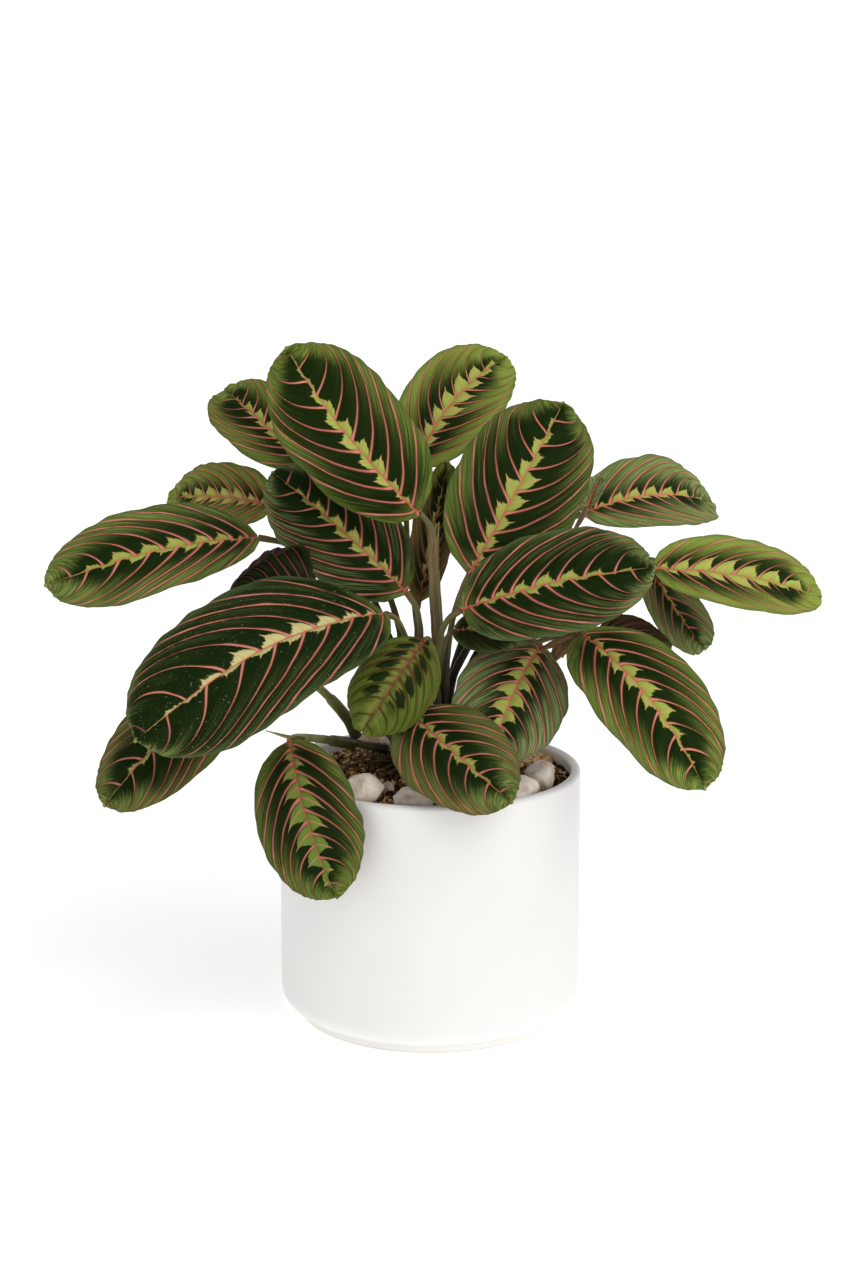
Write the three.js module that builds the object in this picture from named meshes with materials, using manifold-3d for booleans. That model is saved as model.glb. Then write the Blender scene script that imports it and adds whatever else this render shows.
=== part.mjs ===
/**
 * A red-veined prayer plant growing in a plain white ceramic pot.
 *
 * Units are millimetres and +Z is up. The origin is the centre of the pot's flat
 * underside. The plant's front looks towards -Y and its right-hand side is +X.
 */
import * as THREE from 'three';
import { mergeVertices } from 'three/addons/utils/BufferGeometryUtils.js';
import Module from 'manifold-3d';

// The gap kept between two pieces that touch.
const SEAT_GAP = 0.3;

// The pot: a straight cylinder with a rounded lip and a rounded lower edge on a narrower foot.
const POT_RADIUS = 70;
const POT_HEIGHT = 118;
const POT_WALL = 4.6;
const POT_FLOOR = 6;
const POT_LOWER_EDGE_RADIUS = 9;
const POT_LOWER_EDGE_START = -85;
const POT_FOOT_RADIUS = 61;
const POT_FOOT_HEIGHT = 4.5;
const POT_INNER_CORNER_RADIUS = 8;
const POT_SEGMENTS = 48;
const POT_EDGE_STEPS = 4;
const POT_LIP_STEPS = 6;
const POT_CORNER_STEPS = 3;

// The soil: filled to a little below the rim and mounded towards the crown.
const SOIL_EDGE_BELOW_RIM = 5;
const SOIL_MOUND_HEIGHT = 7;
const SOIL_FLAT_RADIUS = 22;
const SOIL_SURFACE_STEPS = 6;

// The crown: the short knot of rhizome that every stalk grows from.
const CROWN_CENTRE = [0, 4];
const CROWN_TOP = 130;
const CROWN_DEPTH_IN_SOIL = 3;
const CROWN_UNDERSIDE_RADIUS = 16;
const CROWN_RADIUS = 20;
const CROWN_SHOULDER_RADIUS = 19;
const CROWN_SHOULDER_BELOW_TOP = 5;
const CROWN_FLAT_RADIUS = 16;
const CROWN_SEGMENTS = 24;

// The blades: thin ovals, with rows of points across them that are closer at both ends.
const BLADE_THICKNESS = 0.8;
const BLADE_BASE_WIDTH = 3;
const BLADE_TIP_WIDTH = 1.2;
const BLADE_OUTLINE_POWER = 2.2;
const BLADE_CUP_POWER = 1.5;
const BLADE_ROWS = [0, 0.05, 0.14, 0.26, 0.39, 0.52, 0.65, 0.78, 0.89, 0.965, 1];
const BLADE_COLUMNS = [-1, -0.5, 0, 0.5, 1];

// The stalks: round rods, one for each blade.
const STALK_RADIUS = 1.6;
const STALK_SIDES = 8;
const STALK_STEPS = 9;
const STALK_RISE = 0.45;
const STALK_LEAD = 0.25;

// The rolled sheath around the newest growth, which carries the top left leaf.
const SHEATH_FOOT = [4.5, 4.5];
const SHEATH_TOP = [1, -4, 232];
const SHEATH_RADIUS = 2.7;
const SHEATH_LEAN = 2;

// The side shoot, a short rhizome that lies over the soil to the left and carries two stalks.
const SIDE_SHOOT = [[-19.6, 5, 124], [-30, 6, 126], [-37, 8, 127]];
const SIDE_SHOOT_RADIUS = 2.3;
const SIDE_SHOOT_STEPS = 4;

/*
 * One entry for each leaf. base and tip are the two ends of its midrib and faces is
 * the way its upper side looks. arch is how far the midrib bows towards the upper
 * side, sway how far it bows to the leaf's right, cup how far the margins stand above
 * the midrib (below it when negative). A larger blunt gives broader, rounder ends, and
 * slim is the share by which the left half is narrower at the base. foot is where the
 * stalk stands on the crown, as distance and direction from its centre in millimetres
 * and degrees from +X, and from is its start where it stands elsewhere. rise and lead
 * are the shares of the stalk's length along which it leaves its foot upwards and
 * meets the blade in line.
 */
const LEAVES = {
  top_left: {
    base: [-5, -5, 237], tip: [-65, 12, 310], faces: [-1, -6, 2], width: 57, arch: 7, sway: -3, cup: -4,
    blunt: 2.4, slim: 0.2,
  },
  upper_left_back: {
    base: [-57, 38, 253], tip: [-99, 85, 283], faces: [-1, -4, 5], width: 40, arch: 6, sway: -2, cup: 2,
    foot: [13.5, 128],
  },
  top_young: {
    base: [-7, 45, 251], tip: [37, 88, 298], faces: [0, -5, 3], width: 45, arch: 6, sway: -5, cup: 1,
    foot: [13.5, 100], young: true,
  },
  top_right: {
    base: [18, -12, 211], tip: [61, 22, 284], faces: [0, -5, 2], width: 58, arch: 7, sway: 1, cup: -4,
    blunt: 2.4, foot: [8, -32],
  },
  left_back: {
    base: [-74, 55, 231], tip: [-128, 88, 229], faces: [0, -3, 2], width: 36, arch: 6, cup: 1,
    foot: [13.5, 152],
  },
  far_left: {
    base: [-80, 24, 221], tip: [-174, -10, 205], faces: [0, -3, 2], width: 48, arch: 11, cup: -3,
    slim: 0.35, foot: [13.5, 176],
  },
  middle_left: {
    base: [-11, 0, 200], tip: [-73, 28, 251], faces: [0, -5, 3], width: 48, arch: 7, cup: -4,
    foot: [7.5, 168],
  },
  curled_left: {
    base: [-51, -2, 199], tip: [-92, -12, 197], faces: [0, -2, 2], width: 37, arch: 4, cup: 4,
    foot: [7.5, -138],
  },
  front_left_large: {
    base: [-20, -30, 196], tip: [-123, -110, 159], faces: [0, -3, 3], width: 73, arch: 20, cup: -4,
    blunt: 2.8, slim: 0.4, foot: [13.5, -118],
  },
  lower_left: {
    base: [-77, -40, 175], tip: [-141, -80, 122], faces: [-1, -4, 3], width: 45, arch: 9, cup: -4,
    blunt: 2.6, from: [-34.5, 7.6, 129.6], rise: 0.1,
  },
  centre_young: {
    base: [-3, -28, 183], tip: [-30, -56, 149], faces: [0, -5, 2], width: 41, arch: 6, cup: -3,
    foot: [7.5, -110], young: true,
  },
  front_centre: {
    base: [-9, -35, 152], tip: [35, -82, 124], faces: [0, -4, 3], width: 47, arch: 8, sway: 3, cup: -3,
    foot: [13.5, -95],
  },
  front_right: {
    base: [50, -12, 177], tip: [26, -54, 134], faces: [0, -5, 3], width: 50, arch: 6, sway: 2, cup: -4,
    foot: [13.5, -50], rise: 0.3,
  },
  middle_right: {
    base: [14, -30, 198], tip: [98, -45, 220], faces: [0, -3, 2], width: 50, arch: 8,
    foot: [13.5, -75],
  },
  lower_right: {
    base: [68, -15, 184], tip: [119, -75, 128], faces: [1, -4, 3], width: 51, arch: 9, sway: -2,
    foot: [13.5, -28],
  },
  far_right_young: {
    base: [102, 5, 210], tip: [183, 25, 193], faces: [0, -3, 3], width: 40, arch: 6, cup: 2,
    foot: [13.5, 12], young: true,
  },
  upper_right_back: {
    base: [72, 50, 228], tip: [138, 88, 226], faces: [0, -3, 3], width: 44, arch: 11, cup: 3,
    foot: [13.5, 55],
  },
  right_folded: {
    base: [100, 24, 211], tip: [130, 32, 166], faces: [-1, -4, 2], width: 24, arch: 4, sway: 1, cup: 5,
    foot: [13.5, 32],
  },
  small_curled: {
    base: [74, 38, 233], tip: [80, 46, 246], faces: [0, -3, 2], width: 9, arch: 1, cup: 2,
    foot: [7.5, 40], young: true,
  },
  front_left_hanging: {
    base: [-62, -50, 143], tip: [-41, -80, 80], faces: [-1, -5, 2], width: 46, arch: 6, sway: 2, cup: -4,
    from: [-36.4, 4.7, 126.7], rise: 0, lead: 0.06,
  },
  middle_back: {
    base: [-5, 16, 193], tip: [8, 26, 256], faces: [0, -5, 1], width: 20, arch: 4, cup: 4,
    foot: [7.5, 130],
  },
  inner_small: {
    base: [11, -13, 185], tip: [40, -22, 182], faces: [0, -2, 3], width: 22, arch: 2, cup: 3,
    foot: [8, -70], lead: 0.12,
  },
  right_back_low: {
    base: [78, 6, 180], tip: [111, 8, 170], faces: [0, -3, 2], width: 22, arch: 4, cup: 3,
    foot: [13.5, -8],
  },
};

/*
 * The pebbles: where each lies around the rim, its three diameters, its turn in degrees
 * and how far its middle stands above the soil.
 */
const PEBBLES = [
  { at: [-30, -47], size: [20, 17, 15], turn: 20, rise: 5 },
  { at: [-8, -54], size: [19, 13, 11], turn: -5, rise: 3 },
  { at: [40, -39], size: [21, 14, 12], turn: 46, rise: 3 },
  { at: [51, -20], size: [20, 15, 13], turn: 65, rise: 4 },
  { at: [-19, -38], size: [5, 4, 5], turn: 80, rise: 1 },
  { at: [41, 40], size: [18, 13, 10], turn: 135, rise: 3 },
  { at: [20, 54], size: [20, 13, 11], turn: 160, rise: 3 },
  { at: [-30, 48], size: [17, 12, 10], turn: 205, rise: 3 },
  { at: [-54, 14], size: [19, 14, 11], turn: 265, rise: 3 },
];
const PEBBLE_UNEVENNESS = 0.14;
const PEBBLE_WAVES = [5, 4];

const CERAMIC = new THREE.MeshStandardMaterial({ color: '#f3f2ef', roughness: 0.45, metalness: 0 });
const SOIL = new THREE.MeshStandardMaterial({ color: '#4b3928', roughness: 0.95, metalness: 0 });
const RHIZOME = new THREE.MeshStandardMaterial({ color: '#6b573a', roughness: 0.9, metalness: 0 });
const STONE = new THREE.MeshStandardMaterial({ color: '#ddd3c4', roughness: 0.6, metalness: 0 });
const MATURE_LEAF = new THREE.MeshStandardMaterial({ color: '#2d4a22', roughness: 0.5, metalness: 0 });
const YOUNG_LEAF = new THREE.MeshStandardMaterial({ color: '#75923c', roughness: 0.5, metalness: 0 });
const STALK = new THREE.MeshStandardMaterial({ color: '#6f7048', roughness: 0.6, metalness: 0 });

const wasm = await Module();
wasm.setup();

/** A named mesh. */
function piece(name, geometry, material) {
  const mesh = new THREE.Mesh(geometry, material);
  mesh.name = name;
  return mesh;
}

/** A geometry as a closed solid for boolean work. */
function toSolid(geometry) {
  const bare = geometry.clone();
  bare.deleteAttribute('normal');
  bare.deleteAttribute('uv');
  const merged = mergeVertices(bare, 1e-3);
  const faces = [];
  const index = merged.index.array;
  for (let corner = 0; corner < index.length; corner += 3) {
    const [a, b, c] = index.slice(corner, corner + 3);
    if (a !== b && b !== c && c !== a) faces.push(a, b, c);
  }
  return new wasm.Manifold(
    new wasm.Mesh({
      numProp: 3,
      vertProperties: new Float32Array(merged.attributes.position.array),
      triVerts: new Uint32Array(faces),
    }),
  );
}

/** A placed mesh as a closed solid. */
function placedSolid(mesh) {
  mesh.updateWorldMatrix(true, false);
  return toSolid(mesh.geometry.clone().applyMatrix4(mesh.matrixWorld));
}

/** The geometry of a solid after its boolean work. */
function fromSolid(solid) {
  const { vertProperties, triVerts } = solid.getMesh();
  const geometry = new THREE.BufferGeometry();
  geometry.setAttribute('position', new THREE.BufferAttribute(vertProperties, 3));
  geometry.setIndex(new THREE.BufferAttribute(triVerts, 1));
  geometry.computeVertexNormals();
  return geometry;
}

/** Points on an arc from one angle to another, in degrees, both ends included. */
function arc(centreX, centreY, radius, from, to, steps) {
  return Array.from({ length: steps + 1 }, (_, step) => {
    const angle = THREE.MathUtils.degToRad(from + ((to - from) * step) / steps);
    return new THREE.Vector2(centreX + radius * Math.cos(angle), centreY + radius * Math.sin(angle));
  });
}

/** A body of revolution about Z, from a profile of radius and height that runs up the outside. */
function turned(profile, segments) {
  const geometry = new THREE.LatheGeometry(profile, segments);
  geometry.rotateX(Math.PI / 2);
  return geometry;
}

/** The pot, with its cavity open at the top. */
function makePot() {
  const lip = POT_WALL / 2;
  const inner = POT_RADIUS - POT_WALL;
  const edge = POT_LOWER_EDGE_RADIUS;
  const corner = POT_INNER_CORNER_RADIUS;
  const profile = [
    new THREE.Vector2(0, 0),
    new THREE.Vector2(POT_FOOT_RADIUS, 0),
    new THREE.Vector2(POT_FOOT_RADIUS, POT_FOOT_HEIGHT),
    ...arc(POT_RADIUS - edge, POT_FOOT_HEIGHT + edge, edge, POT_LOWER_EDGE_START, 0, POT_EDGE_STEPS),
    ...arc(POT_RADIUS - lip, POT_HEIGHT - lip, lip, 0, 180, POT_LIP_STEPS),
    ...arc(inner - corner, POT_FLOOR + corner, corner, 0, -90, POT_CORNER_STEPS),
    new THREE.Vector2(0, POT_FLOOR),
  ];
  return piece('pot', turned(profile, POT_SEGMENTS), CERAMIC);
}

/** The height of the soil's surface at a distance from the pot's axis. */
function soilHeight(distance) {
  const edge = POT_HEIGHT - SOIL_EDGE_BELOW_RIM;
  const reach = POT_RADIUS - POT_WALL - SOIL_FLAT_RADIUS;
  const share = THREE.MathUtils.clamp((distance - SOIL_FLAT_RADIUS) / reach, 0, 1);
  return edge + (SOIL_MOUND_HEIGHT * (1 + Math.cos(Math.PI * share))) / 2;
}

/** The soil, hollowed where the crown and the pebbles are bedded in it. */
function makeSoil(bedded) {
  const radius = POT_RADIUS - POT_WALL - SEAT_GAP;
  const bottom = POT_FLOOR + SEAT_GAP;
  const corner = POT_INNER_CORNER_RADIUS;
  const surface = Array.from({ length: SOIL_SURFACE_STEPS + 1 }, (_, step) => {
    const distance = radius - ((radius - SOIL_FLAT_RADIUS) * step) / SOIL_SURFACE_STEPS;
    return new THREE.Vector2(distance, soilHeight(distance));
  });
  const profile = [
    new THREE.Vector2(0, bottom),
    ...arc(radius - corner, bottom + corner, corner, -90, 0, POT_CORNER_STEPS),
    ...surface,
    new THREE.Vector2(0, soilHeight(0)),
  ];
  const whole = toSolid(turned(profile, POT_SEGMENTS));
  const hollowed = bedded.reduce((solid, hollow) => solid.subtract(placedSolid(hollow)), whole);
  return piece('soil', fromSolid(hollowed), SOIL);
}

/** The crown, or with a margin the hollow that it sits in. */
function makeCrown(margin = 0) {
  const bottom = soilHeight(0) - CROWN_DEPTH_IN_SOIL - margin;
  const profile = [
    new THREE.Vector2(0, bottom),
    new THREE.Vector2(CROWN_UNDERSIDE_RADIUS + margin, bottom),
    new THREE.Vector2(CROWN_RADIUS + margin, soilHeight(0)),
    new THREE.Vector2(CROWN_SHOULDER_RADIUS + margin, CROWN_TOP - CROWN_SHOULDER_BELOW_TOP),
    new THREE.Vector2(CROWN_FLAT_RADIUS + margin, CROWN_TOP),
    new THREE.Vector2(0, CROWN_TOP),
  ];
  const crown = piece('crown', turned(profile, CROWN_SEGMENTS), RHIZOME);
  crown.position.set(...CROWN_CENTRE, 0);
  return crown;
}

/** A pebble with uneven sides, or with a margin the hollow that it lies in. */
function makePebble({ at, size, turn, rise }, number, margin = 0) {
  const geometry = new THREE.IcosahedronGeometry(0.5, 1);
  const position = geometry.attributes.position;
  const point = new THREE.Vector3();
  const [wavesAlong, wavesAcross] = PEBBLE_WAVES;
  for (let vertex = 0; vertex < position.count; vertex += 1) {
    point.fromBufferAttribute(position, vertex);
    const wave = Math.sin(wavesAlong * point.x + number) * Math.cos(wavesAcross * point.y - number);
    point.multiplyScalar(1 + PEBBLE_UNEVENNESS * wave);
    position.setXYZ(vertex, point.x, point.y, point.z);
  }
  geometry.scale(...size.map((side) => side + 2 * margin));
  const pebble = piece(`pebble_${number}`, geometry, STONE);
  const [x, y] = at;
  pebble.position.set(x, y, soilHeight(Math.hypot(x, y)) + rise);
  pebble.rotation.z = THREE.MathUtils.degToRad(turn);
  return pebble;
}

/** How far a blade reaches on one side of its midrib (-1 left, 1 right) at a share of its length. */
function halfWidth({ width, blunt = BLADE_OUTLINE_POWER, slim = 0 }, side, share) {
  const outline = Math.sqrt(Math.max(0, 1 - Math.abs(2 * share - 1) ** blunt));
  const narrowed = side < 0 ? 1 - slim * (1 - share) : 1;
  const least = THREE.MathUtils.lerp(BLADE_BASE_WIDTH, BLADE_TIP_WIDTH, share);
  return Math.max(least, width * outline * narrowed) / 2;
}

/** The leaf's own directions: along its midrib, out of its upper side, and to its right. */
function leafFrame({ base, tip, faces }) {
  const along = new THREE.Vector3(...tip).sub(new THREE.Vector3(...base));
  const length = along.length();
  along.normalize();
  const upper = new THREE.Vector3(...faces);
  upper.addScaledVector(along, -upper.dot(along)).normalize();
  const right = new THREE.Vector3().crossVectors(along, upper);
  return { length, along, upper, right };
}

/** The midrib's direction at a share of the leaf's length, where it bows as a parabola. */
function midribDirection({ arch, sway = 0 }, { length, along, upper, right }, share) {
  const slope = (4 * (1 - 2 * share)) / length;
  const direction = along.clone().addScaledVector(upper, arch * slope);
  return direction.addScaledVector(right, sway * slope).normalize();
}

/** The points around a blade at a share of its length: over its upper side, then under its lower. */
function bladeRing(leaf, frame, share) {
  const { width, arch, sway = 0, cup = 0 } = leaf;
  const bow = 4 * share * (1 - share);
  const middle = frame.along.clone().multiplyScalar(frame.length * share);
  middle.addScaledVector(frame.upper, arch * bow).addScaledVector(frame.right, sway * bow);
  const direction = midribDirection(leaf, frame, share);
  const sideways = new THREE.Vector3().crossVectors(direction, frame.upper).normalize();
  const normal = new THREE.Vector3().crossVectors(sideways, direction);
  return [1, -1].flatMap((face) =>
    BLADE_COLUMNS.map((column) => {
      const across = column * face;
      const half = halfWidth(leaf, across, share);
      const lift = (cup * 2 * half * Math.abs(across) ** BLADE_CUP_POWER) / width;
      const point = middle.clone().addScaledVector(sideways, across * half);
      return point.addScaledVector(normal, lift + (face * BLADE_THICKNESS) / 2);
    }),
  );
}

/** One blade as a closed solid. */
function makeBlade(name, leaf) {
  const frame = leafFrame(leaf);
  const columns = BLADE_COLUMNS.length;
  const ringSize = 2 * columns;
  const points = BLADE_ROWS.flatMap((share) => bladeRing(leaf, frame, share));
  const faces = [];
  const quad = (a, b, c, d) => faces.push(a, b, c, a, c, d);
  for (let row = 0; row + 1 < BLADE_ROWS.length; row += 1) {
    for (let corner = 0; corner < ringSize; corner += 1) {
      const next = (corner + 1) % ringSize;
      const here = row * ringSize;
      const beyond = here + ringSize;
      quad(here + corner, here + next, beyond + next, beyond + corner);
    }
  }
  const last = (BLADE_ROWS.length - 1) * ringSize;
  for (let column = 0; column + 1 < columns; column += 1) {
    const opposite = ringSize - 1 - column;
    quad(column, opposite, opposite - 1, column + 1);
    quad(last + column, last + column + 1, last + opposite - 1, last + opposite);
  }
  const geometry = new THREE.BufferGeometry().setFromPoints(points);
  geometry.setIndex(faces);
  geometry.computeVertexNormals();
  const blade = piece(`leaf_${name}`, geometry, leaf.young ? YOUNG_LEAF : MATURE_LEAF);
  blade.position.set(...leaf.base);
  return blade;
}

/** A round rod along a curve. */
function rod(curve, radius, steps) {
  const lastAngle = 360 - 360 / STALK_SIDES;
  const outline = new THREE.Shape(arc(0, 0, radius, 0, lastAngle, STALK_SIDES - 1));
  return new THREE.ExtrudeGeometry(outline, { steps, extrudePath: curve });
}

/** A point on the crown's flat top, by distance and direction from its centre. */
function crownPoint(distance, direction) {
  const angle = THREE.MathUtils.degToRad(direction);
  const [x, y] = CROWN_CENTRE;
  return new THREE.Vector3(x + distance * Math.cos(angle), y + distance * Math.sin(angle), CROWN_TOP);
}

/** A stalk, from the crown up to the end of its blade, which it meets in line. */
function makeStalk(name, leaf) {
  const { foot, from = SHEATH_TOP, rise = STALK_RISE, lead = STALK_LEAD } = leaf;
  const start = foot ? crownPoint(...foot) : new THREE.Vector3(...from);
  start.z += SEAT_GAP;
  const direction = midribDirection(leaf, leafFrame(leaf), 0);
  const end = new THREE.Vector3(...leaf.base).addScaledVector(direction, -SEAT_GAP);
  const span = start.distanceTo(end);
  const curve = new THREE.CubicBezierCurve3(
    start,
    start.clone().add(new THREE.Vector3(0, 0, span * rise)),
    end.clone().addScaledVector(direction, -span * lead),
    end,
  );
  return piece(`stalk_${name}`, rod(curve, STALK_RADIUS, STALK_STEPS), STALK);
}

/** The rolled sheath, a thick upright rod on the crown. */
function makeSheath() {
  const foot = new THREE.Vector3(...SHEATH_FOOT, CROWN_TOP + SEAT_GAP);
  const top = new THREE.Vector3(...SHEATH_TOP);
  const third = (top.z - foot.z) / 3;
  const curve = new THREE.CubicBezierCurve3(
    foot,
    foot.clone().add(new THREE.Vector3(SHEATH_LEAN, 0, third)),
    top.clone().add(new THREE.Vector3(0, 0, -third)),
    top,
  );
  return piece('rolled_sheath', rod(curve, SHEATH_RADIUS, STALK_STEPS), STALK);
}

/** The side shoot, a rod from the crown's flank. */
function makeSideShoot() {
  const curve = new THREE.CatmullRomCurve3(SIDE_SHOOT.map((point) => new THREE.Vector3(...point)));
  return piece('side_shoot', rod(curve, SIDE_SHOOT_RADIUS, SIDE_SHOOT_STEPS), RHIZOME);
}

const pebbles = PEBBLES.map((pebble, index) => makePebble(pebble, index + 1));
const pebbleBeds = PEBBLES.map((pebble, index) => makePebble(pebble, index + 1, SEAT_GAP));
const soil = makeSoil([makeCrown(SEAT_GAP), ...pebbleBeds]);

const plant = new THREE.Group();
plant.add(makeCrown(), makeSideShoot(), makeSheath());
for (const [name, leaf] of Object.entries(LEAVES)) {
  plant.add(makeBlade(name, leaf), makeStalk(name, leaf));
}

const part = new THREE.Group();
part.add(makePot(), soil, ...pebbles, plant);

export default part;
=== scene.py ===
"""A red-veined prayer plant in a white ceramic pot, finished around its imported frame."""
import math

import bmesh
import bpy
import numpy as np
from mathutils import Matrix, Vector, noise


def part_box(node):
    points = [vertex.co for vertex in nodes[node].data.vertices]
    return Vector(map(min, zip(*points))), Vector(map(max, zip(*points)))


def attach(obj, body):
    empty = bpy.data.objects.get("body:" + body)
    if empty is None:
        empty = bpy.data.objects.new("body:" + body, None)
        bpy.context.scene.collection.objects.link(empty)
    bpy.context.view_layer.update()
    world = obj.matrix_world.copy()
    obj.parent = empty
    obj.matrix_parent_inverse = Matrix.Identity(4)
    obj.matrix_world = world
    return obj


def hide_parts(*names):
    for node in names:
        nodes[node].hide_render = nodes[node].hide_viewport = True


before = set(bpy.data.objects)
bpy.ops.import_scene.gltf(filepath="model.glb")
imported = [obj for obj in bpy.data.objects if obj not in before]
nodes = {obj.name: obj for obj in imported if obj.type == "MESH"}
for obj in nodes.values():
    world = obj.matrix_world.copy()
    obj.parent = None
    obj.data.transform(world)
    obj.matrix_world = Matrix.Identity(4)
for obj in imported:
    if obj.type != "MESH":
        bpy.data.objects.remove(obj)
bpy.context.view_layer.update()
collection = bpy.context.scene.collection
MM = 0.001


# ---------------------------------------------------------------------------------------
# The pot: a slip-cast stoneware cylinder with a soft matt white glaze. It has a rounded
# lip and lower edge, and stands on a narrower foot whose ring is left unglazed.
# ---------------------------------------------------------------------------------------
POT_WALL = 4.6 * MM
POT_FLOOR = 6 * MM
POT_EDGE_RADIUS = 9 * MM
POT_FOOT_RADIUS = 61 * MM
POT_FOOT_HEIGHT = 4.5 * MM
POT_FOOT_ROUNDING = 0.8 * MM
POT_FOOT_STEP = 0.5 * MM
POT_INNER_CORNER = 8 * MM
POT_SEGMENTS = 192
POT_WAVER = 0.12 * MM
pot_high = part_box("pot")[1]
POT_RADIUS = pot_high.x
POT_HEIGHT = pot_high.z


def linear(code):
    """An sRGB hex colour as linear red, green and blue, with alpha."""
    shares = [int(code[place:place + 2], 16) / 255 for place in (1, 3, 5)]
    return [share / 12.92 if share <= 0.04045 else ((share + 0.055) / 1.055) ** 2.4 for share in shares] + [1]


def add(tree, kind, inputs=None, stops=(), **settings):
    """Adds a node and gives its first output in use.

    An input is a value, a hex colour or another node's output. Stops are a ramp's places and hex colours.
    """
    node = tree.nodes.new(kind)
    for name, value in settings.items():
        setattr(node, name, value)
    for number, (place, colour) in enumerate(stops):
        ramp = node.color_ramp.elements
        stop = ramp[number] if number < 2 else ramp.new(place)
        stop.position, stop.color = place, linear(colour)
    for key, value in (inputs or {}).items():
        if isinstance(value, bpy.types.NodeSocket):
            tree.links.new(value, node.inputs[key])
        elif isinstance(value, str) and value.startswith("#"):
            node.inputs[key].default_value = linear(value)
        else:
            node.inputs[key].default_value = value
    return next((output for output in node.outputs if output.enabled), None)


def finish_of(name):
    """A new material and its empty tree."""
    material = bpy.data.materials.new(name)
    material.use_nodes = True
    material.node_tree.nodes.clear()
    return material, material.node_tree


def surfaced(tree, relief, inputs):
    """Ends a finish: its surface, with a fine relief given as a strength, a depth and a height."""
    strength, depth, height = relief
    bump = add(tree, "ShaderNodeBump", {"Strength": strength, "Distance": depth, "Height": height})
    surface = add(tree, "ShaderNodeBsdfPrincipled", {**inputs, "Normal": bump})
    add(tree, "ShaderNodeOutputMaterial", {0: surface})


def arc(centre, height, radius, start, end, steps):
    """Points of a profile on an arc, by angles in degrees, both ends included."""
    angles = np.radians(np.linspace(start, end, steps + 1))
    return [(centre + radius * math.cos(a), height + radius * math.sin(a)) for a in angles]


def turned(name, profile, segments):
    """A closed mesh turned round Z from a profile that starts and ends on the axis."""
    shape = bmesh.new()
    points = [shape.verts.new((radius, 0, height)) for radius, height in profile]
    edges = [shape.edges.new(pair) for pair in zip(points, points[1:])]
    bmesh.ops.spin(shape, geom=points + edges, axis=(0, 0, 1), cent=(0, 0, 0), steps=segments,
                   angle=2 * math.pi, use_merge=True)
    bmesh.ops.remove_doubles(shape, verts=shape.verts, dist=0.01 * MM)
    bmesh.ops.recalc_face_normals(shape, faces=shape.faces)
    mesh = bpy.data.meshes.new(name)
    shape.to_mesh(mesh)
    shape.free()
    mesh.shade_smooth()
    return mesh


def placed(name, mesh):
    """A finished piece in the scene, riding on the one body there is."""
    piece = bpy.data.objects.new(name, mesh)
    collection.objects.link(piece)
    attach(piece, "root")
    return piece


# Matt white glaze: bright and even, with a faint cloudiness from its uneven thickness,
# and soft wide highlights. The foot shows warmer where the glaze was wiped away.
glaze, tree = finish_of("matt white glaze on stoneware")
place = add(tree, "ShaderNodeTexCoord").node.outputs["Object"]
cloud = add(tree, "ShaderNodeTexNoise", {"Vector": place, "Scale": 1 / (35 * MM), "Detail": 3})
speck = add(tree, "ShaderNodeTexNoise", {"Vector": place, "Scale": 1 / (0.9 * MM), "Detail": 2})
height = add(tree, "ShaderNodeSeparateXYZ", {0: place}).node.outputs["Z"]
bare = add(tree, "ShaderNodeMapRange", {0: height, 1: 0.9 * MM, 2: 0.4 * MM})
white = "#e3e2df"
for strength, colour in ((cloud, "#ebeae7"), (bare, "#d9d0c2")):
    white = add(tree, "ShaderNodeMix", {0: strength, 6: white, 7: colour}, data_type="RGBA")
rough = add(tree, "ShaderNodeMapRange", {0: cloud, 1: 0.3, 2: 0.7, 3: 0.36, 4: 0.46})
surfaced(tree, (0.12, 0.1 * MM, speck), {"Base Color": white, "Roughness": rough, "IOR": 1.5})

lip = POT_WALL / 2
inner = POT_RADIUS - POT_WALL
pot_profile = [(0, 0)]
pot_profile += arc(POT_FOOT_RADIUS - POT_FOOT_ROUNDING, POT_FOOT_ROUNDING, POT_FOOT_ROUNDING, -90, 0, 4)
pot_profile += [(POT_FOOT_RADIUS, POT_FOOT_HEIGHT - POT_FOOT_STEP)]
pot_profile += arc(POT_RADIUS - POT_EDGE_RADIUS, POT_FOOT_HEIGHT + POT_EDGE_RADIUS, POT_EDGE_RADIUS,
                   -86, 0, 14)
pot_profile += [(POT_RADIUS, share * POT_HEIGHT) for share in np.linspace(0.2, 0.9, 8)]
pot_profile += arc(POT_RADIUS - lip, POT_HEIGHT - lip, lip, 0, 180, 14)
pot_profile += [(inner, share * POT_HEIGHT) for share in (0.8, 0.5, 0.2)]
pot_profile += arc(inner - POT_INNER_CORNER, POT_FLOOR + POT_INNER_CORNER, POT_INNER_CORNER, 0, -90, 6)
pot_profile += [(0, POT_FLOOR)]
pot_mesh = turned("ceramic_pot", pot_profile, POT_SEGMENTS)
for vertex in pot_mesh.vertices:
    if vertex.co.z > POT_FOOT_HEIGHT:
        outward = Vector((vertex.co.x, vertex.co.y, 0)).normalized()
        vertex.co += outward * (POT_WAVER * noise.noise(vertex.co / (40 * MM)) - POT_WAVER)
pot_mesh.materials.append(glaze)
pot = placed("ceramic_pot", pot_mesh)
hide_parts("pot")


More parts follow.
